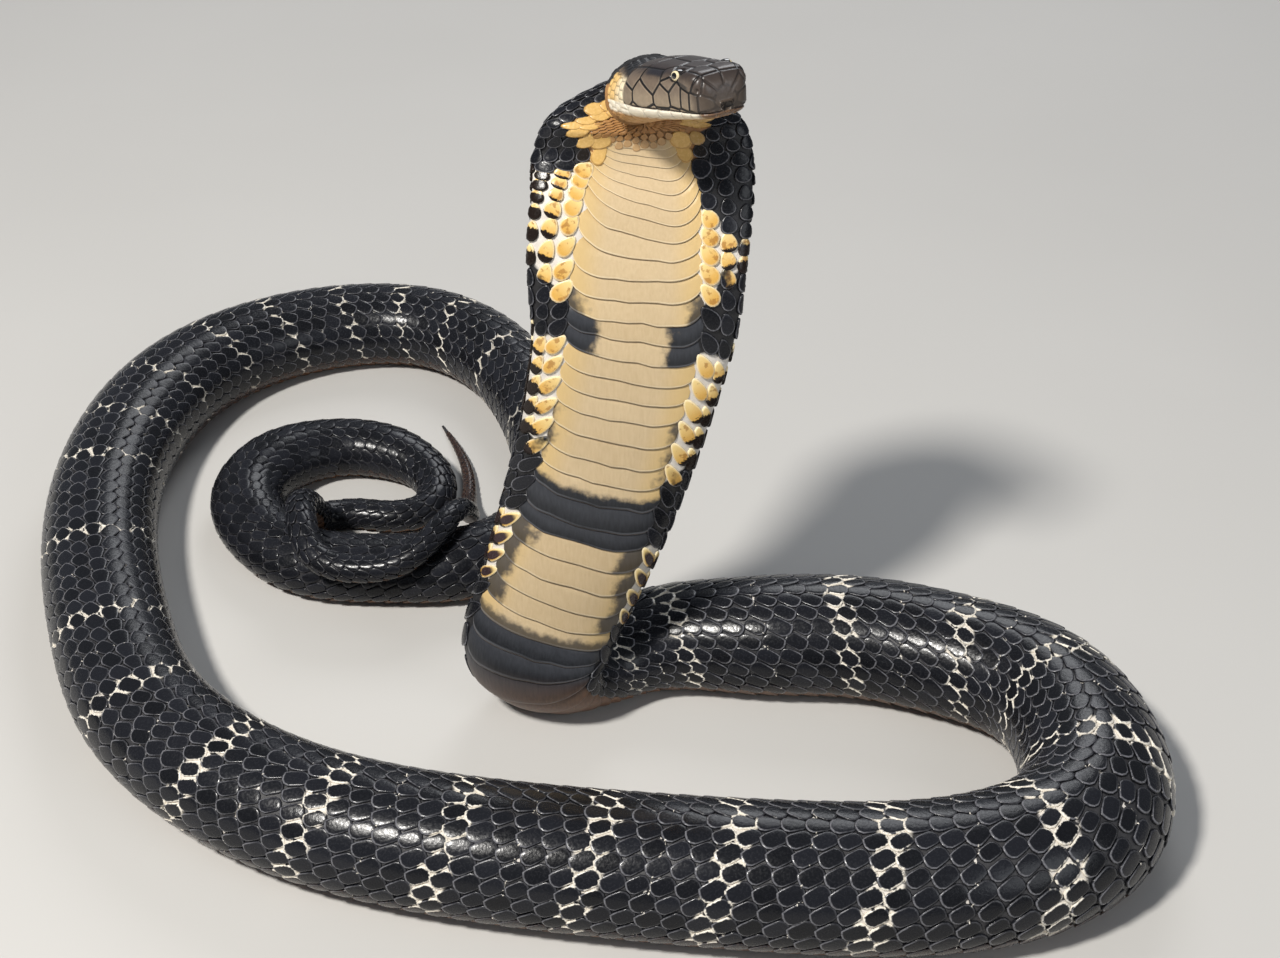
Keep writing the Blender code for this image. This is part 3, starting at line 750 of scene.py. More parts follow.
def make_skin():
    """The whole skin as one closed tube."""
    stations = HEAD_LENGTH * np.linspace(0, 1, HEAD_SKIN_ROWS) ** 1.6
    stations[0] = 0.1 * MM
    wanted = np.linspace(-1, 1, SKIN_COLUMNS)
    rows, marks_along = [], []
    for back in stations[:-1]:
        inset = np.interp(back / MM, *zip(*HEAD_INSET)) * MM
        section = head_section(back)
        section = section * (1 - inset / np.maximum(np.abs(section).max(axis=0), 2.5 * MM))
        ring, _ = even_ring(head_point(back + 1.2 * MM, section[:, 0], section[:, 1]), SKIN_COLUMNS)
        rows.append(ring + FRAME_SHIFT)
        marks_along.append(NECK_START - (HEAD_LENGTH - back) / MM)
    places = np.concatenate([
        np.arange(NECK_START, 60, 1.0), np.arange(60, 400, 3.0), np.arange(400, BODY_LENGTH / MM - 3, 5.0)
    ])
    depth = np.minimum(COAT_DEPTH, smooth(HALF_HEIGHT, places) * 0.25)
    body = surface_points(*np.broadcast_arrays(places[:, None], wanted, -depth[:, None]))
    rows = np.concatenate([np.array(rows), body])[:, :-1]
    along = np.concatenate([marks_along, places])
    columns = SKIN_COLUMNS - 1
    points = rows.reshape(-1, 3)
    all_along = np.repeat(along, columns)
    all_around = np.tile(wanted[:-1], len(along))
    faces = tube_faces(len(along), columns)
    marks = {"along": all_along, "around": all_around, "to_band": nearest_band(all_along, all_around)}
    return mesh_piece("snake_skin", points, faces, SKIN, marks, skin_map(all_along - along[0], all_around))


skin = make_skin()
flesh = [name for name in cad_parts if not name.startswith("eye")]
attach(skin, "root")
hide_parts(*flesh)

# %% [markdown]
# Back scales sit in straight rows along the body, and each row is set a little headward of its neighbour
# nearer the spine, which gives the slanting lines of a cobra's back. The rows end at the belly plates, except
# on the throat, where they run all round. These keys say how many rows there are and how the scales grow.

# %% Rows and sizes of the back scales
SLANT = 0.24  # share of the spacing by which a row is set headward of the row nearer the spine
SCALE_SPACING = (
    (20, 5), (45, 5.6), (60, 6.2), (84, 7), (98, 8.6), (132, 9.1), (150, 10.4), (200, 11.6), (300, 11.4),
    (345, 10.2), (450, 10.7), (1500, 10.7), (1800, 10), (2160, 9), (2300, 7.6), (2420, 7.6), (2600, 6),
    (2712, 4),
)
SCALE_LONG = ((20, 1.1), (57, 1.02), (66, 0.86), (250, 0.84), (310, 0.95), (380, 1.15), (2712, 1.13))
SCALE_WIDE = ((20, 0.98), (57, 0.9), (66, 0.66), (250, 0.68), (310, 0.84), (380, 0.9), (2712, 0.94))
SIDE_ROWS, FINE_ROWS = 14, 27  # rows on either side of the spine: at the throat's sides, and under the jaw
THROAT_PITCH = {SIDE_ROWS: 6.4, FINE_ROWS: 3.6}  # mm from scale to scale
FINE_FROM = 0.13  # how far inside the throat's border the fine scales begin, as a place around
SCALE_STRETCHES = (  # from, to, and rows on either side of the spine
    (21, 57, SIDE_ROWS), (21, 48.5, FINE_ROWS), (57, 300, 9), (300, 1150, 8), (1150, 1900, 7),
    (1900, 2200, 6), (2200, 2290, 5), (2290, 2350, 4), (2350, 2540, 3), (2540, 2700, 2),
)
print("rows on either side:", [rows for _, _, rows in SCALE_STRETCHES])

# %% [markdown]
# A scale is the cell that this pattern leaves to it: the places that are nearer to it than to any neighbour,
# with rounded corners. On the stretched hood the scales stand apart as drops. Either way it is a low dome,
# higher at its free rear edge, with a skirt sunk in the skin.

# %% The shape of one scale
OUTLINE_COUNT = 16
DIRECTIONS = 2 * math.pi * np.arange(OUTLINE_COUNT) / OUTLINE_COUNT
CELL_TALL = 0.74  # row spacing over lengthwise spacing
ROUNDNESS = 9.0
UNDER = -9.0  # stands for the height of the lowest ring, which lies at the depth SKIRT
RINGS = ((0.5, 0.0), (0.8, -0.02), (0.93, -0.12), (1.0, -0.42), (1.0, UNDER))  # share of the outline, height
TOP_HEIGHT, REAR_LIFT, SKIRT = 0.12, 0.56, -1.35  # mm, on a scale of full size


def cell_outline(side):
    """Outline of a scale that fills its cell; side is 1 left of the spine, -1 right of it and 0 on it."""
    up = side * CELL_TALL
    neighbours = [(1, 0), (-1, 0), (-SLANT, up), (1 - SLANT, up), (SLANT, -up), (SLANT - 1, -up)]
    if side == 0:
        neighbours[2:] = [(x, y) for y in (CELL_TALL, -CELL_TALL) for x in (-SLANT, 1 - SLANT)]
    total = np.zeros_like(DIRECTIONS)
    for x, y in neighbours:
        half = math.hypot(x, y) / 2
        total += np.maximum(np.cos(DIRECTIONS - math.atan2(y, x)) / half, 0) ** ROUNDNESS
    reach = total ** (-1 / ROUNDNESS)
    return reach * np.cos(DIRECTIONS), reach * np.sin(DIRECTIONS) / CELL_TALL


def scale_template(x, y):
    """Points of one scale with this outline: place, share of the outline and height."""
    rings = [np.zeros((1, 4))]
    for share, height in RINGS:
        rings.append(np.stack([x * share, y * share, 0 * x + share, 0 * x + height], 1))
    return np.concatenate(rings)


def scale_faces():
    """Triangles of one scale, ring by ring from the middle, and the bottom."""
    n = OUTLINE_COUNT
    faces = [(0, 1 + i, 1 + (i + 1) % n) for i in range(n)]
    for start in range(1, 1 + n * (len(RINGS) - 1), n):
        for i in range(n):
            j = (i + 1) % n
            faces.append((start + i, start + n + i, start + n + j))
            faces.append((start + i, start + n + j, start + j))
    bottom = 1 + (len(RINGS) - 1) * n
    faces += [(bottom, bottom + i + 1, bottom + i) for i in range(1, n - 1)]
    return np.array(faces)


TEMPLATES = {side: scale_template(*cell_outline(side)) for side in (-1, 0, 1)}
DROP = scale_template(0.5 * np.cos(DIRECTIONS), 0.5 * np.sin(DIRECTIONS) * (1 + 0.3 * np.cos(DIRECTIONS)))
TEMPLATE_FACES = scale_faces()
print("one scale:", len(DROP), "points", len(TEMPLATE_FACES), "triangles")

# %% [markdown]
# On the back a running count of spacings, `phase`, numbers the scales, so that rows with different shifts keep
# in step. On the throat the skin is folded and rows would crowd, so each row is filled by its own length.

# %% Where the scales lie
phase_places = np.arange(0, BODY_LENGTH / MM + 50, 1.0)
phase = np.cumsum(1 / smooth(SCALE_SPACING, phase_places))


def back_lattice(start, end, rows):
    """Scales of one stretch of back as along and row, in slanting lines."""
    centres = []
    for row in range(-rows, rows + 1):
        shift = SLANT * abs(row)
        first = math.ceil(np.interp(start, phase_places, phase) + shift)
        last = math.floor(np.interp(end, phase_places, phase) + shift)
        for number in range(first, last + 1):
            along = float(np.interp(number - shift, phase, phase_places))
            if start <= along < end:
                centres.append((along, row))
    return centres


def throat_lattice(start, end, rows):
    """Scales of the throat as along and row, the fine ones or those round them."""
    centres = []
    places = np.arange(start, end + 0.1, 0.5)
    pitch = THROAT_PITCH[rows]
    for row in range(-rows, rows + 1):
        around = row / (rows + 0.5)
        reach = line_lengths(read_table(SURFACE, places, np.full_like(places, around))) / MM
        wanted = np.interp(np.arange(1.5 + pitch / 2 * (row % 2), reach[-1], pitch), reach, places)
        fine = abs(around) - throat_border(wanted) > FINE_FROM
        centres += [(float(along), row) for along in wanted[fine == (rows == FINE_ROWS)]]
    return centres


def scales_between(start, end):
    """Every scale between two distances along the body, as along, row and the rows on either side."""
    for low, high, rows in SCALE_STRETCHES:
        low, high = max(low, start), min(high, end)
        if low < high:
            lattice = throat_lattice if rows in THROAT_PITCH else back_lattice
            for along, row in lattice(low, high, rows):
                yield along, row, rows


def local_scale(along, around):
    """How many mm of skin go to one mm along the body and to one unit around it."""
    places = np.clip([along - 1, along + 1, along, along], NECK_START, BODY_LENGTH / MM - 1)
    points = read_table(SURFACE, places, np.clip([around, around, around - 0.01, around + 0.01], -1, 1))
    lengthwise = np.linalg.norm(points[1] - points[0]) / MM / 2
    crosswise = np.linalg.norm(points[3] - points[2]) / MM / 0.02
    return max(lengthwise, 0.3), max(crosswise, 0.5)


print("scales on the throat:", sum(1 for _ in scales_between(21, 57)))

# %% [markdown]
# Each scale is the template stretched to its sides, turned a little and laid on the map of the surface. The
# hood's scales lean in towards the spine, most of all beside the plates, and the body's lean out to the belly.
# No two are quite alike: sizes and turns vary by chance, from a generator with a fixed seed.

# %% Building the coat
HOOD_SCALES_END = 308  # mm along; up to here the scales are drops
HOOD_POSES = (  # lean, longer and wider: for the row beside the plates, the next ones, and all others
    (0.72, 1.6, 1.34), (0.34, 1.3, 1.24), (0.15, 1.2, 1.24), (0, 1.12, 1.2),
)
JAW_BORDER_POSE, THROAT_BORDER_POSE = (-0.15, 1.3, 1.4), (0.6, 1.5, 1.0)  # before and after JAW_END
JAW_END = 46
SCALE_MARKS = ("along", "around", "to_band", "edge", "tip", "chance", "column")
rng = np.random.default_rng(7)


def scale_pose(along, centre, column, rows):
    """How a scale leans in to the spine, in radians, and how much longer and wider than usual it is."""
    if along >= HOOD_SCALES_END:
        return -0.24, 1, 1
    if rows not in THROAT_PITCH:
        return HOOD_POSES[min(column, 3)]
    if rows == FINE_ROWS or abs(centre) <= throat_border(along):
        return 0, 1, 1
    return JAW_BORDER_POSE if along < JAW_END else THROAT_BORDER_POSE


def make_scales(name, start, end, finish):
    """One piece of coat, with every scale between two distances along the body."""
    points, maps, marks = [], [], {key: [] for key in SCALE_MARKS}
    for along, row, rows in scales_between(start, end):
        side, column, on_throat = int(np.sign(row)), rows - abs(row), rows in THROAT_PITCH
        width = (1.0 if on_throat else float(belly_edge(along))) / (rows + 0.5)
        centre = row * width
        lengthwise, crosswise = local_scale(along, centre)
        lean, longer, wider = scale_pose(along, centre, column, rows)
        vary = 1 + 0.05 * rng.standard_normal()
        turn = 0.04 * rng.standard_normal() - side * lean
        spacing = THROAT_PITCH[rows] if on_throat else float(smooth(SCALE_SPACING, along)[0])
        long_side = spacing * float(smooth(SCALE_LONG, along)[0]) * vary * longer
        wide_side = width * crosswise * float(smooth(SCALE_WIDE, along)[0]) * vary * wider
        x, y, share, rise = (DROP if along < HOOD_SCALES_END else TEMPLATES[side]).T
        down = x * long_side * math.cos(turn) - y * wide_side * math.sin(turn)
        over = y * wide_side * math.cos(turn) + x * long_side * math.sin(turn)
        at = along + down / lengthwise ** (1 if on_throat else 0.6)
        at = np.clip(at, NECK_START + 0.2, BODY_LENGTH / MM - 1)
        place = centre + over / crosswise
        small = min(1.0, long_side / 8) * (0.5 if rows == FINE_ROWS else 1.0)
        height = np.where(rise == UNDER, SKIRT, TOP_HEIGHT + rise + REAR_LIFT * x) * small
        points.append(surface_points(at, place, height))
        values = (along, centre, nearest_band(at, place), share, x, rng.random(), column)
        for key, value in zip(marks, values):
            marks[key].append(np.broadcast_to(value, x.shape))
        maps.append(skin_map(along, centre) + np.stack([x, y], 1) * PATCH)
    firsts = np.arange(len(points)) * len(DROP)
    faces = (TEMPLATE_FACES + firsts[:, None, None]).reshape(-1, 3)
    marks = {key: np.concatenate(value) for key, value in marks.items()}
    made = mesh_piece(name, np.concatenate(points), faces, finish, marks, np.concatenate(maps))
    print(name, len(points), "scales")
    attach(made, "root")


# %% [markdown]
# Real scales are black with a wet gloss and very fine lengthwise lines. Those beside a pale band have pale
# nibbled edges. On the hood's pale patches they are ochre with black tips, and in its black ones slate. The
# marks of a scale say where on it a point lies: `edge` is 1 at its outline and `tip` grows to its rear end.

# %% The finish of the scales
def scale_finish():
    """Black scales, and the hood's ochre ones and the throat's brown ones by their masks."""
    made, tree, shader = new_finish("back_scales", 0.3, Specular_IOR_Level=0.26)
    along, around, to_band, edge, tip, chance, column = (attribute(tree, name) for name in SCALE_MARKS)
    fine = noise(tree, 900.0, 2.0)
    ragged = (fine - 0.5) * 0.3
    # Black, with a faint lighter rim at the rear that fades towards the tail, partly the scales' own pale edge
    # and partly a painted highlight on the bevel, and white edges in the bands.
    black = (chance * 0.6 + fine * 0.4).mix((0.004, 0.0042, 0.005), (0.015, 0.016, 0.021))
    rim = edge.step(0.80, 0.88) * edge.step(0.985, 0.93) * (tip.step(-0.2, 0.3) * 0.75 + 0.25)
    rim_tone = along.step(1300, 2000).mix((0.15, 0.15, 0.165), (0.045, 0.045, 0.052))
    black = (rim * (fine.step(0.3, 0.6) * 0.5 + 0.5)).mix(black, rim_tone)
    white = fine.mix((0.66, 0.60, 0.50), (0.88, 0.84, 0.76))
    colour = (band_mask(tree, to_band, along) * (edge + ragged).step(0.82, 0.94)).mix(black, white)
    # Ochre, with brown specks, a pale rim, a black tip and, low on the hood, a dark middle beside the plates.
    ochre = (tip + ragged).step(-0.45, 0.35).mix((0.80, 0.60, 0.26), (0.66, 0.38, 0.09))
    ochre = ((noise(tree, 330.0) + chance * 0.1).step(0.60, 0.70) * 0.7).mix(ochre, (0.34, 0.15, 0.035))
    ochre = (edge.step(0.74, 1.0) * 0.75).mix(ochre, (0.84, 0.74, 0.52))
    to_black = 0.62 - column.least(3.0) * 0.44 + chance * 0.14 - along.step(135, 175) * 0.42
    ochre = (tip + ragged - to_black).step(-0.04, 0.04).mix(ochre, (0.014, 0.009, 0.007))
    core = edge.step(0.78, 0.6) * tip.step(-0.42, -0.15) * along.step(185, 225) * column.step(1.5, 0.5)
    ochre = core.mix(ochre, (0.040, 0.024, 0.026))
    patch = hood_patch(tree, along, around) * hood_mask(along) * abs(around).step(0.3, 0.5)
    colour = patch.mix(colour, ochre)
    # The throat: orange-brown under the jaw, darkened there with painted shade, paler towards the plates, and
    # yellow round its sides.
    throat = (fine * 0.7 + chance * 0.3).mix((0.29, 0.135, 0.045), (0.44, 0.235, 0.09))
    throat = (along.step(34, 48) * 0.8).mix(throat, (0.50, 0.335, 0.17))
    sides = fine.mix((0.56, 0.33, 0.085), (0.74, 0.50, 0.20))
    throat = (rim * 0.5).mix(throat_mask(along, around, FINE_FROM).mix(sides, throat), (0.24, 0.10, 0.03))
    colour = throat_mask(along, around).step(0.4, 0.6).mix(colour, throat)
    # Brown low on the body, a painted reflection of the brown earth, and brown at the end of the tail.
    low = abs(around).step(0.60, 0.70) * along.step(400, 460) + along.step(2560, 2640) * 0.6
    colour = (low * fine.step(0.35, 0.6) * 0.5).mix(colour, (0.15, 0.07, 0.035))
    feed(shader, "Base Color", colour)
    feed(shader, "Roughness", fine.step(0.3, 0.7) * 0.14 + 0.17)
    feed(shader, "Normal", bump(noise(tree, 700.0, 4.0), 0.3, 0.0003))
    return made


SCALES = scale_finish()
make_scales("scales_hood", 21, 400, SCALES)
make_scales("scales_front", 400, 1000, SCALES)
make_scales("scales_middle", 1000, 1600, SCALES)
make_scales("scales_rear", 1600, 2150, SCALES)
make_scales("scales_tail", 2150, BODY_LENGTH / MM, SCALES)

# %% [markdown]
# The belly has one wide plate after another, like roof tiles: each is bowed towards the tail, its rear edge is
# free and overlaps the next, and its ends are rounded. Where the body rests on the floor they show only as a
# brown line, brown as a painted reflection of the brown earth.

# %% Sizes of the belly plates
RAISED_EDGES = (  # free rear edges at the middle of the belly, in mm along the body
    50, 55, 60.5, 66.5, 72.5, 78.5, 84.5, 92, 101, 110, 119, 128, 136, 145, 154.5, 164, 173.6, 185.6, 197.5,
    208.6, 220.5, 233.2, 242.3, 254.3, 266.8, 279.2, 292, 304, 314, 321.5,
)
PLATE_SPACING = ((300, 8.2), (345, 8.2), (400, 10), (450, 10.7), (2160, 9), (2400, 7.5), (2712, 5))
PLATE_BOW = ((20, 13), (66, 13), (84, 11), (97, 9), (110, 6), (136, 5), (300, 4.5), (420, 2), (2712, 0.6))
PLATE_TILT = (  # mm by which a plate's right end lies nearer to the tail than its middle
    (20, 5), (84, 5), (97, 3.4), (110, 1.2), (136, 0.8), (167, 0), (2712, 0),
)
PLATE_STEPS = (  # place in plate lengths from the rear edge, headward below 0, and height in mm
    (-1.5, -0.95), (-0.8, -0.62), (-0.5, -0.36), (-0.25, -0.16), (-0.08, -0.04), (0.0, -0.12),
)
PLATE_SKIRT = -1.5
WAVE_COUNT = 10  # random shifts between which a plate's edges run in a wave
PLATE_MARKS = ("along", "across", "tip", "chance", "plate")


def plate_edges(start, end):
    """Rear edges of the plates and the length of each, in mm."""
    edges = [edge for edge in RAISED_EDGES if start <= edge < end]
    at = edges[-1] if edges else start
    while at < end:
        at += float(smooth(PLATE_SPACING, at)[0])
        edges.append(at)
    lengths = np.diff([2 * edges[0] - edges[1]] + edges)
    return list(zip(edges, lengths))


print("plates on the raised part:", len(plate_edges(50, 400)))


# %% Building the plates
def make_plates(name, start, end, columns, finish):
    """Joined belly plates between two distances along the body."""
    steps, heights = np.array(PLATE_STEPS).T
    across = np.linspace(-1, 1, columns)
    end_round = (1 - np.abs(across) ** 20) ** 0.5
    wave_places = np.linspace(-1, 1, WAVE_COUNT)
    rows = len(steps) + 2
    tip = np.concatenate([steps[:1], steps, steps[-1:]])[:, None]
    points, maps, faces, marks = [], [], [], {key: [] for key in PLATE_MARKS}
    plates = plate_edges(start, end)
    for number, (along, length) in enumerate(plates):
        bow, tilt = float(smooth(PLATE_BOW, along)[0]), float(smooth(PLATE_TILT, along)[0])
        small = min(1.0, length / 9)
        step = (steps[:, None] + 0.5) * (0.5 + 0.5 * end_round) - 0.5
        wave = np.interp(across, wave_places, rng.standard_normal(WAVE_COUNT)) * 0.035 * length
        at = along + step * length - bow * np.abs(across) ** 4.5 + tilt * across + wave
        at = np.clip(np.concatenate([at[:1], at, at[-1:]]), NECK_START, BODY_LENGTH / MM - 1)
        height = heights[:, None] - 0.5 * np.abs(across) ** 12
        height = np.pad(height, ((1, 1), (0, 0)), constant_values=PLATE_SKIRT) * small
        place = np.broadcast_to(1 + (1 - float(belly_edge(along))) * across, at.shape)
        points.append(surface_points(at, place, height).reshape(-1, 3))
        for key, value in zip(marks, (at, across, tip, rng.random(), along)):
            marks[key].append(np.broadcast_to(value, at.shape).ravel())
        maps.append(skin_map(at, wrap_around(place)).reshape(-1, 2))
        faces.append(grid_faces(rows, columns, flip=True) + number * rows * columns)
    marks = {key: np.concatenate(value) for key, value in marks.items()}
    points, faces, maps = (np.concatenate(parts) for parts in (points, faces, maps))
    made = mesh_piece(name, points, faces, finish, marks, maps)
    print(name, len(plates), "plates")
    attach(made, "root")


# %% [markdown]
# The plates are cream with a thin brown line at each rear edge, and a painted highlight just before it. Some
# have slate ends, two runs are slate all over, and where the neck turns into the body they are brown, a
# painted reflection of the brown earth. `across` is 0 at the middle of a plate and 1 at its ends, and `tip` is
# 0 at its rear edge and negative before it.

# %% The finish of the plates
SLATE_ENDS = (  # first and last rear edge of plates with slate, where on them it begins, and its strength
    (126, 130, 0.80, 0.9), (134, 150, 0.52, 1), (184, 210, 0.90, 0.9), (230, 245, -1.0, 1),
    (252, 256, 0.62, 0.9), (264, 282, 0.76, 0.9), (290, 294, 0.68, 0.9), (312, 700, -1.0, 1),
)
HALF_DARK = ((220.5, 1.0), (304.0, 0.85))  # rear edges of two plates with a smudged rear half, and strength


def between(wire, low, high):
    """1 where a wire lies from low to high, with soft ends."""
    return (abs(wire - (low + high) / 2) - (high - low) / 2).step(0.5, -0.5)


def plate_finish():
    """Cream plates, slate by their ends, runs and smudges, with a painted highlight by each rear edge, and
    brown at the base of the neck as a painted reflection of the brown earth.
    """
    made, tree, shader = new_finish("belly_plates", 0.4, Specular_IOR_Level=0.36)
    along, across, tip, chance, plate = (attribute(tree, name) for name in PLATE_MARKS)
    streak = noise(tree, 160.0, 4.0, (6, 6, 0.5))
    fine = noise(tree, 420.0, 3.0)
    cream = (streak * 0.6 + chance * 0.2 + fine * 0.2).mix((0.46, 0.335, 0.185), (0.66, 0.52, 0.33))
    cream = (abs(across).step(0.45, 0.95) * 0.7).mix(cream, (0.62, 0.43, 0.17))
    slate = (streak * 0.6 + tip.step(-0.1, -0.8) * 0.5).mix((0.004, 0.0045, 0.0055), (0.048, 0.051, 0.060))
    frayed = abs(across) + (fine - 0.5) * 0.2 + (noise(tree, 110.0) - 0.5) * 0.5
    dark = [
        between(plate, first, last) * (frayed - begin).step(-0.09, 0.12) * strength
        for first, last, begin, strength in SLATE_ENDS
    ]
    smudge = (tip + (noise(tree, 130.0) - 0.5) * 0.5 + (fine - 0.5) * 0.35).step(-0.68, -0.3)
    dark += [between(plate, edge - 2, edge + 2) * smudge * strength for edge, strength in HALF_DARK]
    dark = reduce(Wire.most, dark)
    colour = dark.mix(cream, slate)
    # A painted highlight along each rear edge: pale on cream, grey on slate.
    rim = tip.step(-0.13, -0.07) * (abs(across) * 0.5 + 0.2)
    colour = rim.mix(colour, dark.mix((0.84, 0.72, 0.50), (0.15, 0.155, 0.17)))
    line = tip.step(-0.035, -0.01) * (1 - dark * 0.6)
    colour = (line * 0.8).mix(colour, (0.22, 0.11, 0.045))
    # Brown from the base of the neck on: a painted reflection of the brown earth.
    brown = streak.mix((0.035, 0.014, 0.007), (0.18, 0.085, 0.038))
    feed(shader, "Base Color", along.step(318, 336).mix(colour, brown))
    feed(shader, "Normal", bump(streak, 0.3, 0.0004))
    return made


PLATES = plate_finish()
make_plates("belly_plates_raised", 50, 400, 61, PLATES)
make_plates("belly_plates_ground", 402, BODY_LENGTH / MM - 12, 21, PLATES)

# %% [markdown]
# A king cobra's crown has large smooth shields with dark seams. Each is the part of the head that lies nearer
# to its own seed point than to any other, as for soap bubbles. The seeds are listed for one side and mirrored,
# and a size bonus lets a large shield push its borders out. Small scales follow in even rings.

# %% Seeds of the head's shields
MIDDLE_SHIELDS = ((0, 0, 5.4, 4), (18.5, 0, 16.6, 0), (0.8, 0, -1.6, 0))  # back, right, up, size bonus
PAIRED_SHIELDS = (
    (1.4, 4.3, 12.8, 0), (8.2, 4.9, 16.4, 8), (17.6, 9.6, 16.2, 0), (32.5, 6.6, 16.6, 30),
    (46, 5.6, 15.8, 20), (0.8, 7.8, 9.6, 0), (3, 11.6, 11, 0), (7.4, 12.8, 13.2, 6), (22.4, 13.2, 14.4, 0),
    (20.8, 15, 11.4, 0), (32, 15.6, 12.2, 26), (46, 16.4, 11.6, 14), (1.8, 9.8, 4.8, 0), (5.2, 12.4, 5, 0),
    (9.8, 13.4, 5.6, 0), (15.8, 14.6, 6.2, 2), (24, 16, 5.8, 6), (36, 18.4, 5.4, 20), (48.5, 19.2, 5, 6),
    (3, 7.8, -2.2, 0), (7.4, 9.8, -2.6, 0), (12, 11.6, -2.8, 0), (17.4, 13.6, -3, 0), (24, 15.4, -3.4, 2),
    (32, 17.2, -3.6, 4), (41, 18.6, -4, 4), (7, 3, -4.6, 2), (15, 3.2, -5.6, 4), (25, 4, -7, 8),
    (38, 6, -8.4, 10),
)
NAPE_RINGS, NAPE_STEP, NAPE_COUNT = (53.5, 68), 4.2, 28  # rings of small scales behind the jaw
CHIN_ROWS, CHIN_STEP, CHIN_SHIFT = (28, 50), 4.8, 1.2  # and rows of them across the underside


def head_seeds():
    """Seeds of the shields and small scales: back, right, up and size bonus."""
    seeds = list(MIDDLE_SHIELDS)
    for back, right, up, bonus in PAIRED_SHIELDS:
        seeds += [(back, right, up, bonus), (back, -right, up, bonus)]
    for back in np.arange(*NAPE_RINGS, NAPE_STEP):
        section = head_section(min(back * MM, HEAD_LENGTH)) / MM
        ring = np.concatenate([section, section[:1]])
        reach = line_lengths(ring)
        shift = 0.5 * (round(back / NAPE_STEP) % 2)
        for at in (np.arange(NAPE_COUNT) + shift) / NAPE_COUNT * reach[-1]:
            seeds.append((back, np.interp(at, reach, ring[:, 0]), np.interp(at, reach, ring[:, 1]), 0))
    for back in np.arange(*CHIN_ROWS, CHIN_STEP):
        depth, width = (float(smooth(keys, back)[0]) for keys in (HEAD_DEPTH, HEAD_WIDTH))
        for right in np.arange(-14, 14.1, 4.0):
            seeds.append((back - CHIN_SHIFT, right, -depth * (1 - (right / width) ** 2) ** 0.5, -3))
    return np.array(seeds)


SEEDS = head_seeds()
print(len(SEEDS), "seeds on the head")

# %% [markdown]
# Half the difference of a point's distances to its two nearest seeds, measured across, is how far it is from
# the seam between them. The surface dips along the seams, rises over the eyes, and is pressed in at the eye
# sockets, the nostrils and the mouth.

# %% The head
HEAD_ROWS, HEAD_COLUMNS = 230, 301
SHIELD_RISE, SEAM_HALF = 0.4, 0.55
eye_middle = np.array((EYE_BACK, eye_side, EYE_UP)) / MM
HEAD_BUMPS = (  # back, right and up of a form on either side of the head, its radius and its height, in mm
    (eye_middle + (0.3, -0.8, 3.4), 1.7, 0.45),  # the brow
    ((11.5, 14.2, 10.5), 2.6, -0.5),  # the hollow before the eye
    ((2.6, 11.9, 9.4), 0.75, -1.5),  # the nostril
    ((3.6, 12.6, 10.6), 1.2, 0.35),  # the swelling behind it
)


def head_grid():
    """Rings of points of the head in mm as back, right and up, and their outward directions."""
    stations = np.linspace(0, 1, HEAD_ROWS) ** 1.25 * HEAD_LENGTH
    stations[0] = 0.12 * MM
    rings = []
    for back in stations:
        section = head_section(back)
        ring, _ = even_ring(np.column_stack([np.full(len(section), back), section]), HEAD_COLUMNS)
        rings.append(ring[:-1] / MM)
    grid = np.array(rings)
    side_step = np.gradient(np.concatenate([grid[:, -1:], grid, grid[:, :1]], 1), axis=1)[:, 1:-1]
    outward = np.cross(side_step, np.gradient(grid, axis=0))
    outward /= np.linalg.norm(outward, axis=2)[..., None] + 1e-9
    crown = outward[HEAD_ROWS // 2, grid.shape[1] // 2]
    return grid, outward if crown[2] > 0 else -outward


def seams(grid):
    """For each point of the grid the number of its shield, and its distance to the nearest seam in mm."""
    flat = grid.reshape(-1, 3)
    distance = np.stack([((flat - seed[:3]) ** 2).sum(1) - seed[3] for seed in SEEDS], 1)
    each = np.arange(len(flat))
    owner = distance.argmin(1)
    nearest = distance[each, owner]
    distance[each, owner] = np.inf
    other = distance.argmin(1)
    apart = np.linalg.norm(SEEDS[owner, :3] - SEEDS[other, :3], axis=1)
    to_seam = (distance[each, other] - nearest) / (2 * np.maximum(apart, 1))
    return owner.reshape(grid.shape[:2]), np.clip(to_seam, 0, 6).reshape(grid.shape[:2])


def make_head(finish):
    """The head's covering, with its shields, mouth line, nostrils and eye sockets."""
    grid, outward = head_grid()
    owner, to_seam = seams(grid)
    back, right, up = (grid[..., k] for k in range(3))
    height = -SHIELD_RISE * np.exp(-((to_seam / SEAM_HALF) ** 2)) - 0.05
    to_eyes = []
    for side in (1, -1):
        mirror = np.array((1, side, 1))
        for middle, radius, rise in HEAD_BUMPS:
            gap = ((grid - middle * mirror) ** 2).sum(-1)
            height += rise * np.exp(-gap / (2 * radius**2))
        to_eyes.append(np.linalg.norm(grid - eye_middle * mirror, axis=-1))
    to_eye = np.minimum(*to_eyes)
    height -= 0.75 * np.clip((1.28 - to_eye * MM / EYE_RADIUS) / 0.12, 0, 1)
    mouth_end = 1 / (1 + np.exp((back - 47) / 1.2))
    mouth_line = np.exp(-((up / 0.42) ** 2)) * mouth_end * (np.abs(right) + back > 3)
    height -= 0.9 * mouth_line
    front = np.clip(back / 1.2, 0, 1)
    points = (grid + outward * (height * front)[..., None]) * MM
    world = head_point(points[..., 0], points[..., 1], points[..., 2]) + FRAME_SHIFT
    rows, columns = back.shape
    marks = {
        "seam": to_seam, "head_back": back, "head_up": up, "mouth_line": mouth_line,
        "shield": owner * 0.618 % 1, "to_eye": to_eye,
    }
    places = np.broadcast_arrays(np.arange(columns) / columns, back * MM / HEAD_LENGTH)
    uv = 0.01 + 0.98 * np.stack(places, -1).reshape(-1, 2)
    made = mesh_piece("head_shields", world.reshape(-1, 3), tube_faces(rows, columns), finish, marks, uv)
    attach(made, "root")


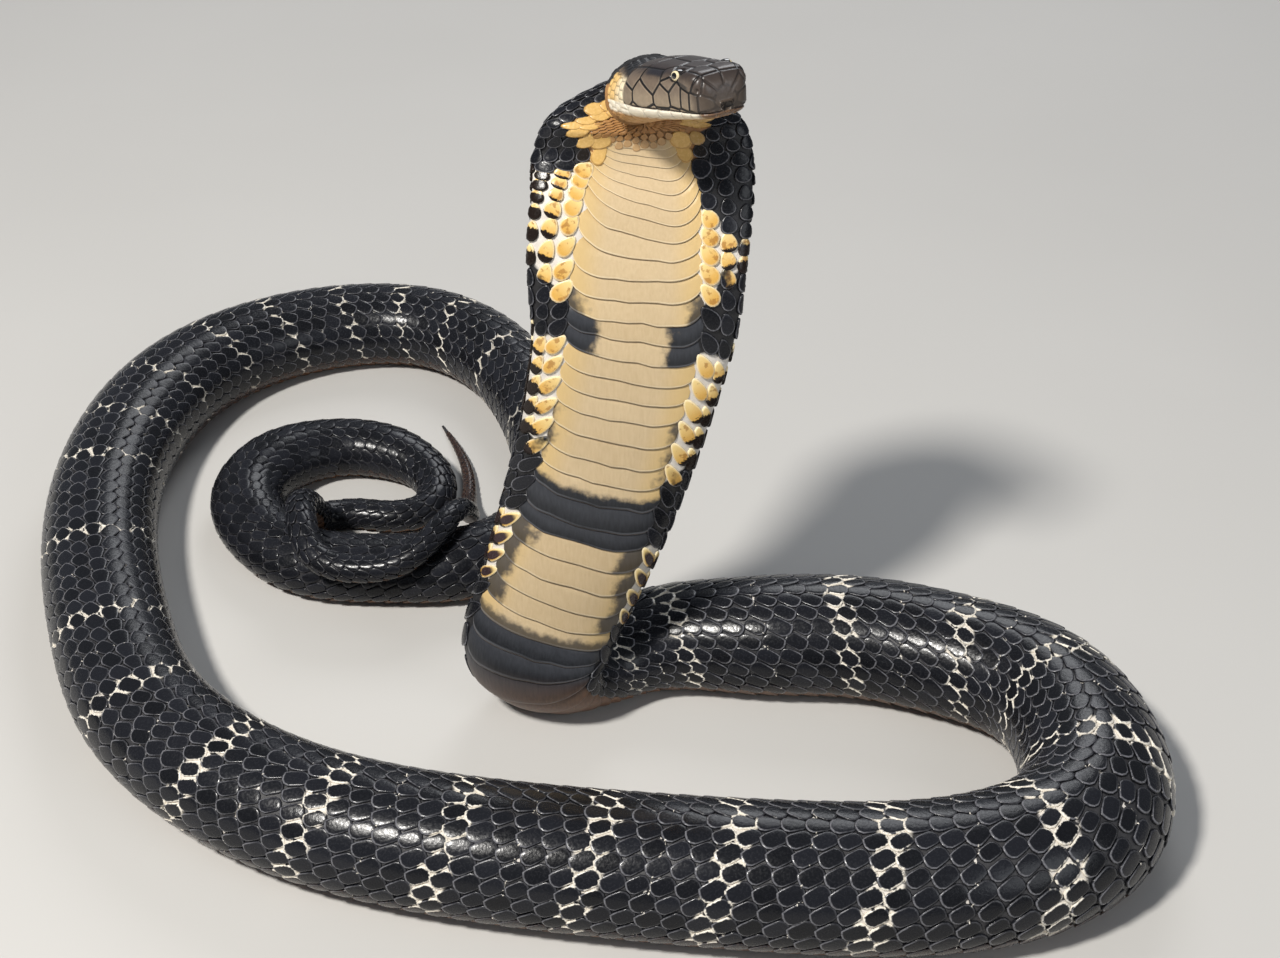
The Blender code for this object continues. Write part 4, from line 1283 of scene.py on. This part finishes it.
# %% [markdown]
# The crown is dark olive brown and the sides are lighter, with black seams and a black streak through the eye.
# Behind the jaw lies a cream patch under a black collar, and under the mouth the shields are cream. Each
# area is a tone mixed from noise and a mask made from `back`, `up` and the distance to the seam.

# %% The finish of the head
def head_finish():
    """Brown shields with black seams, cream below and behind the jaw."""
    made, tree, shader = new_finish("head_shields", 0.34)
    names = ("seam", "head_back", "head_up", "mouth_line", "shield", "to_eye")
    seam, back, up, mouth_line, shield, to_eye = (attribute(tree, name) for name in names)
    fine = noise(tree, 500.0, 4.0)
    tone = shield * 0.35 + fine * 0.65
    # Crown and sides, darker on the snout, with pale edges to the side shields.
    crown = tone.mix((0.016, 0.011, 0.010), (0.060, 0.046, 0.041))
    side = tone.mix((0.09, 0.066, 0.05), (0.235, 0.178, 0.13))
    side = up.step(9.5, 4.0).mix(side, tone.mix((0.14, 0.105, 0.07), (0.34, 0.265, 0.185)))
    side = (back.step(9, 3) * 0.8).mix(side, (0.040, 0.029, 0.025))
    colour = (up + (fine - 0.5) * 4.0).step(15.5, 10.5).mix(crown, side)
    pale_edge = (abs(seam - 0.85) - 0.2).step(0.15, -0.1) * up.step(14, 11)
    colour = (pale_edge * 0.16 * back.step(4, 9)).mix(colour, (0.42, 0.34, 0.25))
    # A black streak from the nostril to the eye, and another over the cheek.
    streak = (abs(up - 13.2 + (17.0 - back) * 0.33) - 0.7).step(0.6, -0.3)
    streak = streak * back.step(6.5, 8.5) * back.step(16, 14)
    colour = (streak * 0.85).mix(colour, (0.010, 0.008, 0.008))
    over = (abs(back - 31.0) - 6.0).step(1.5, -1.5) * (abs(up - 14.3) - 1.0).step(0.8, -0.5)
    colour = (over * 0.85).mix(colour, (0.014, 0.014, 0.02))
    # The cream patch behind the jaw, and the black collar over it.
    behind = back.step(49.5, 51.5)
    cream = fine.mix((0.66, 0.52, 0.30), (0.86, 0.78, 0.60))
    cream = back.step(54, 62).mix(cream, fine.mix((0.60, 0.36, 0.11), (0.80, 0.56, 0.24)))
    colour = (behind * up.step(11, 9)).mix(colour, cream)
    colour = (behind * (up - (back - 50.0) * 0.1).step(9, 11.5)).mix(colour, (0.012, 0.011, 0.012))
    # The cream lower lip, darkened at the front with painted shade, and the orange throat under it.
    lower = fine.mix((0.70, 0.62, 0.47), (0.88, 0.82, 0.70))
    # Painted shade at the front of the lower jaw.
    lower = back.step(7, 3).mix(lower, (0.16, 0.09, 0.05))
    throat = fine.mix((0.36, 0.17, 0.06), (0.60, 0.35, 0.15))
    lip_edge = back.step(2, 30) * -2.4 - 2.2
    colour = up.step(0.3, -0.3).mix(colour, (up - lip_edge).step(0.5, -1.2).mix(lower, throat))
    # Black seams, thin below the mouth, and the dark rims of the eye and the mouth.
    wide = up.step(-0.5, 0.5) * 0.28 * (1 - back.step(50, 52)) + 0.14
    mask = (seam + (fine - 0.5) * 0.12 - wide - 0.1).step(0.12, -0.08)
    mask = mask * (up.step(-0.5, 0.5) * 0.75 + 0.25) * (1 - behind * 0.45) * (back.step(0.5, 6) * 0.6 + 0.4)
    colour = mask.mix(colour, (0.006, 0.005, 0.005))
    colour = to_eye.step(4.1, 3.7).mix(colour, (0.014, 0.010, 0.009))
    colour = mouth_line.step(0.25, 0.7).mix(colour, (0.03, 0.015, 0.01))
    feed(shader, "Base Color", colour)
    feed(shader, "Roughness", fine * 0.2 + 0.24)
    feed(shader, "Normal", bump(noise(tree, 900.0, 3.0), 0.25, 0.0003))
    return made


make_head(head_finish())

# %% [markdown]
# A cobra has no lids: a clear scale covers a round eye with a gold ring and a round black pupil. The ball is a
# fine sphere, and its finish is painted by the distance from the axis on which it looks out.

# %% Eyes
EYE_ROWS, EYE_COLUMNS = 40, 48
NOT_SEEN = 9  # the mark of the ball's inner half


def eye_finish():
    """A black pupil, a gold ring and a dark border under a clear coat."""
    made, tree, shader = new_finish("eye", 0.05, Coat_Weight=1.0, Coat_Roughness=0.02)
    gaze = attribute(tree, "gaze")
    fine = noise(tree, 2500.0)
    ring = (gaze + (fine - 0.5) * 0.2).step(2.3, 2.1).mix((0.015, 0.012, 0.010), (0.78, 0.66, 0.42))
    feed(shader, "Base Color", gaze.step(1.42, 1.28).mix(ring, (0.004, 0.004, 0.005)))
    return made


def make_eye(side, sign, finish):
    """One eyeball, turned to look out, a little forward and up."""
    axis = head_right * sign * 0.93 + head_forward * 0.30 + head_up * 0.12
    axis /= np.linalg.norm(axis)
    up = np.cross(axis, np.cross(head_up, axis))
    up /= np.linalg.norm(up)
    out = np.cross(axis, up)
    polar = np.linspace(0.02, math.pi - 0.02, EYE_ROWS)[:, None]
    turn = 2 * math.pi * np.arange(EYE_COLUMNS) / EYE_COLUMNS
    ahead = np.cos(polar) + 0 * turn
    upward, outward = np.sin(polar) * np.cos(turn), np.sin(polar) * np.sin(turn)
    direction = ahead[..., None] * axis + upward[..., None] * up + outward[..., None] * out
    pressed = 1 - 0.22 * np.clip(direction @ head_up, 0, 1)[..., None] ** 2  # flatter under the brow
    points = eye_places[side] + FRAME_SHIFT + direction * EYE_RADIUS * pressed
    gaze = np.where(ahead > 0, np.sin(polar) * EYE_RADIUS / MM, NOT_SEEN)
    disc = np.stack([np.cos(turn), np.sin(turn)], -1) * polar[..., None] / math.pi
    uv = 0.5 + 0.45 * disc.reshape(-1, 2)
    faces = tube_faces(EYE_ROWS, EYE_COLUMNS)
    made = mesh_piece(f"eyeball_{side}", points.reshape(-1, 3), faces, finish, {"gaze": gaze}, uv)
    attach(made, "root")
    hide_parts(f"eye_{side}")


EYE = eye_finish()
make_eye("right", 1, EYE)
make_eye("left", -1, EYE)
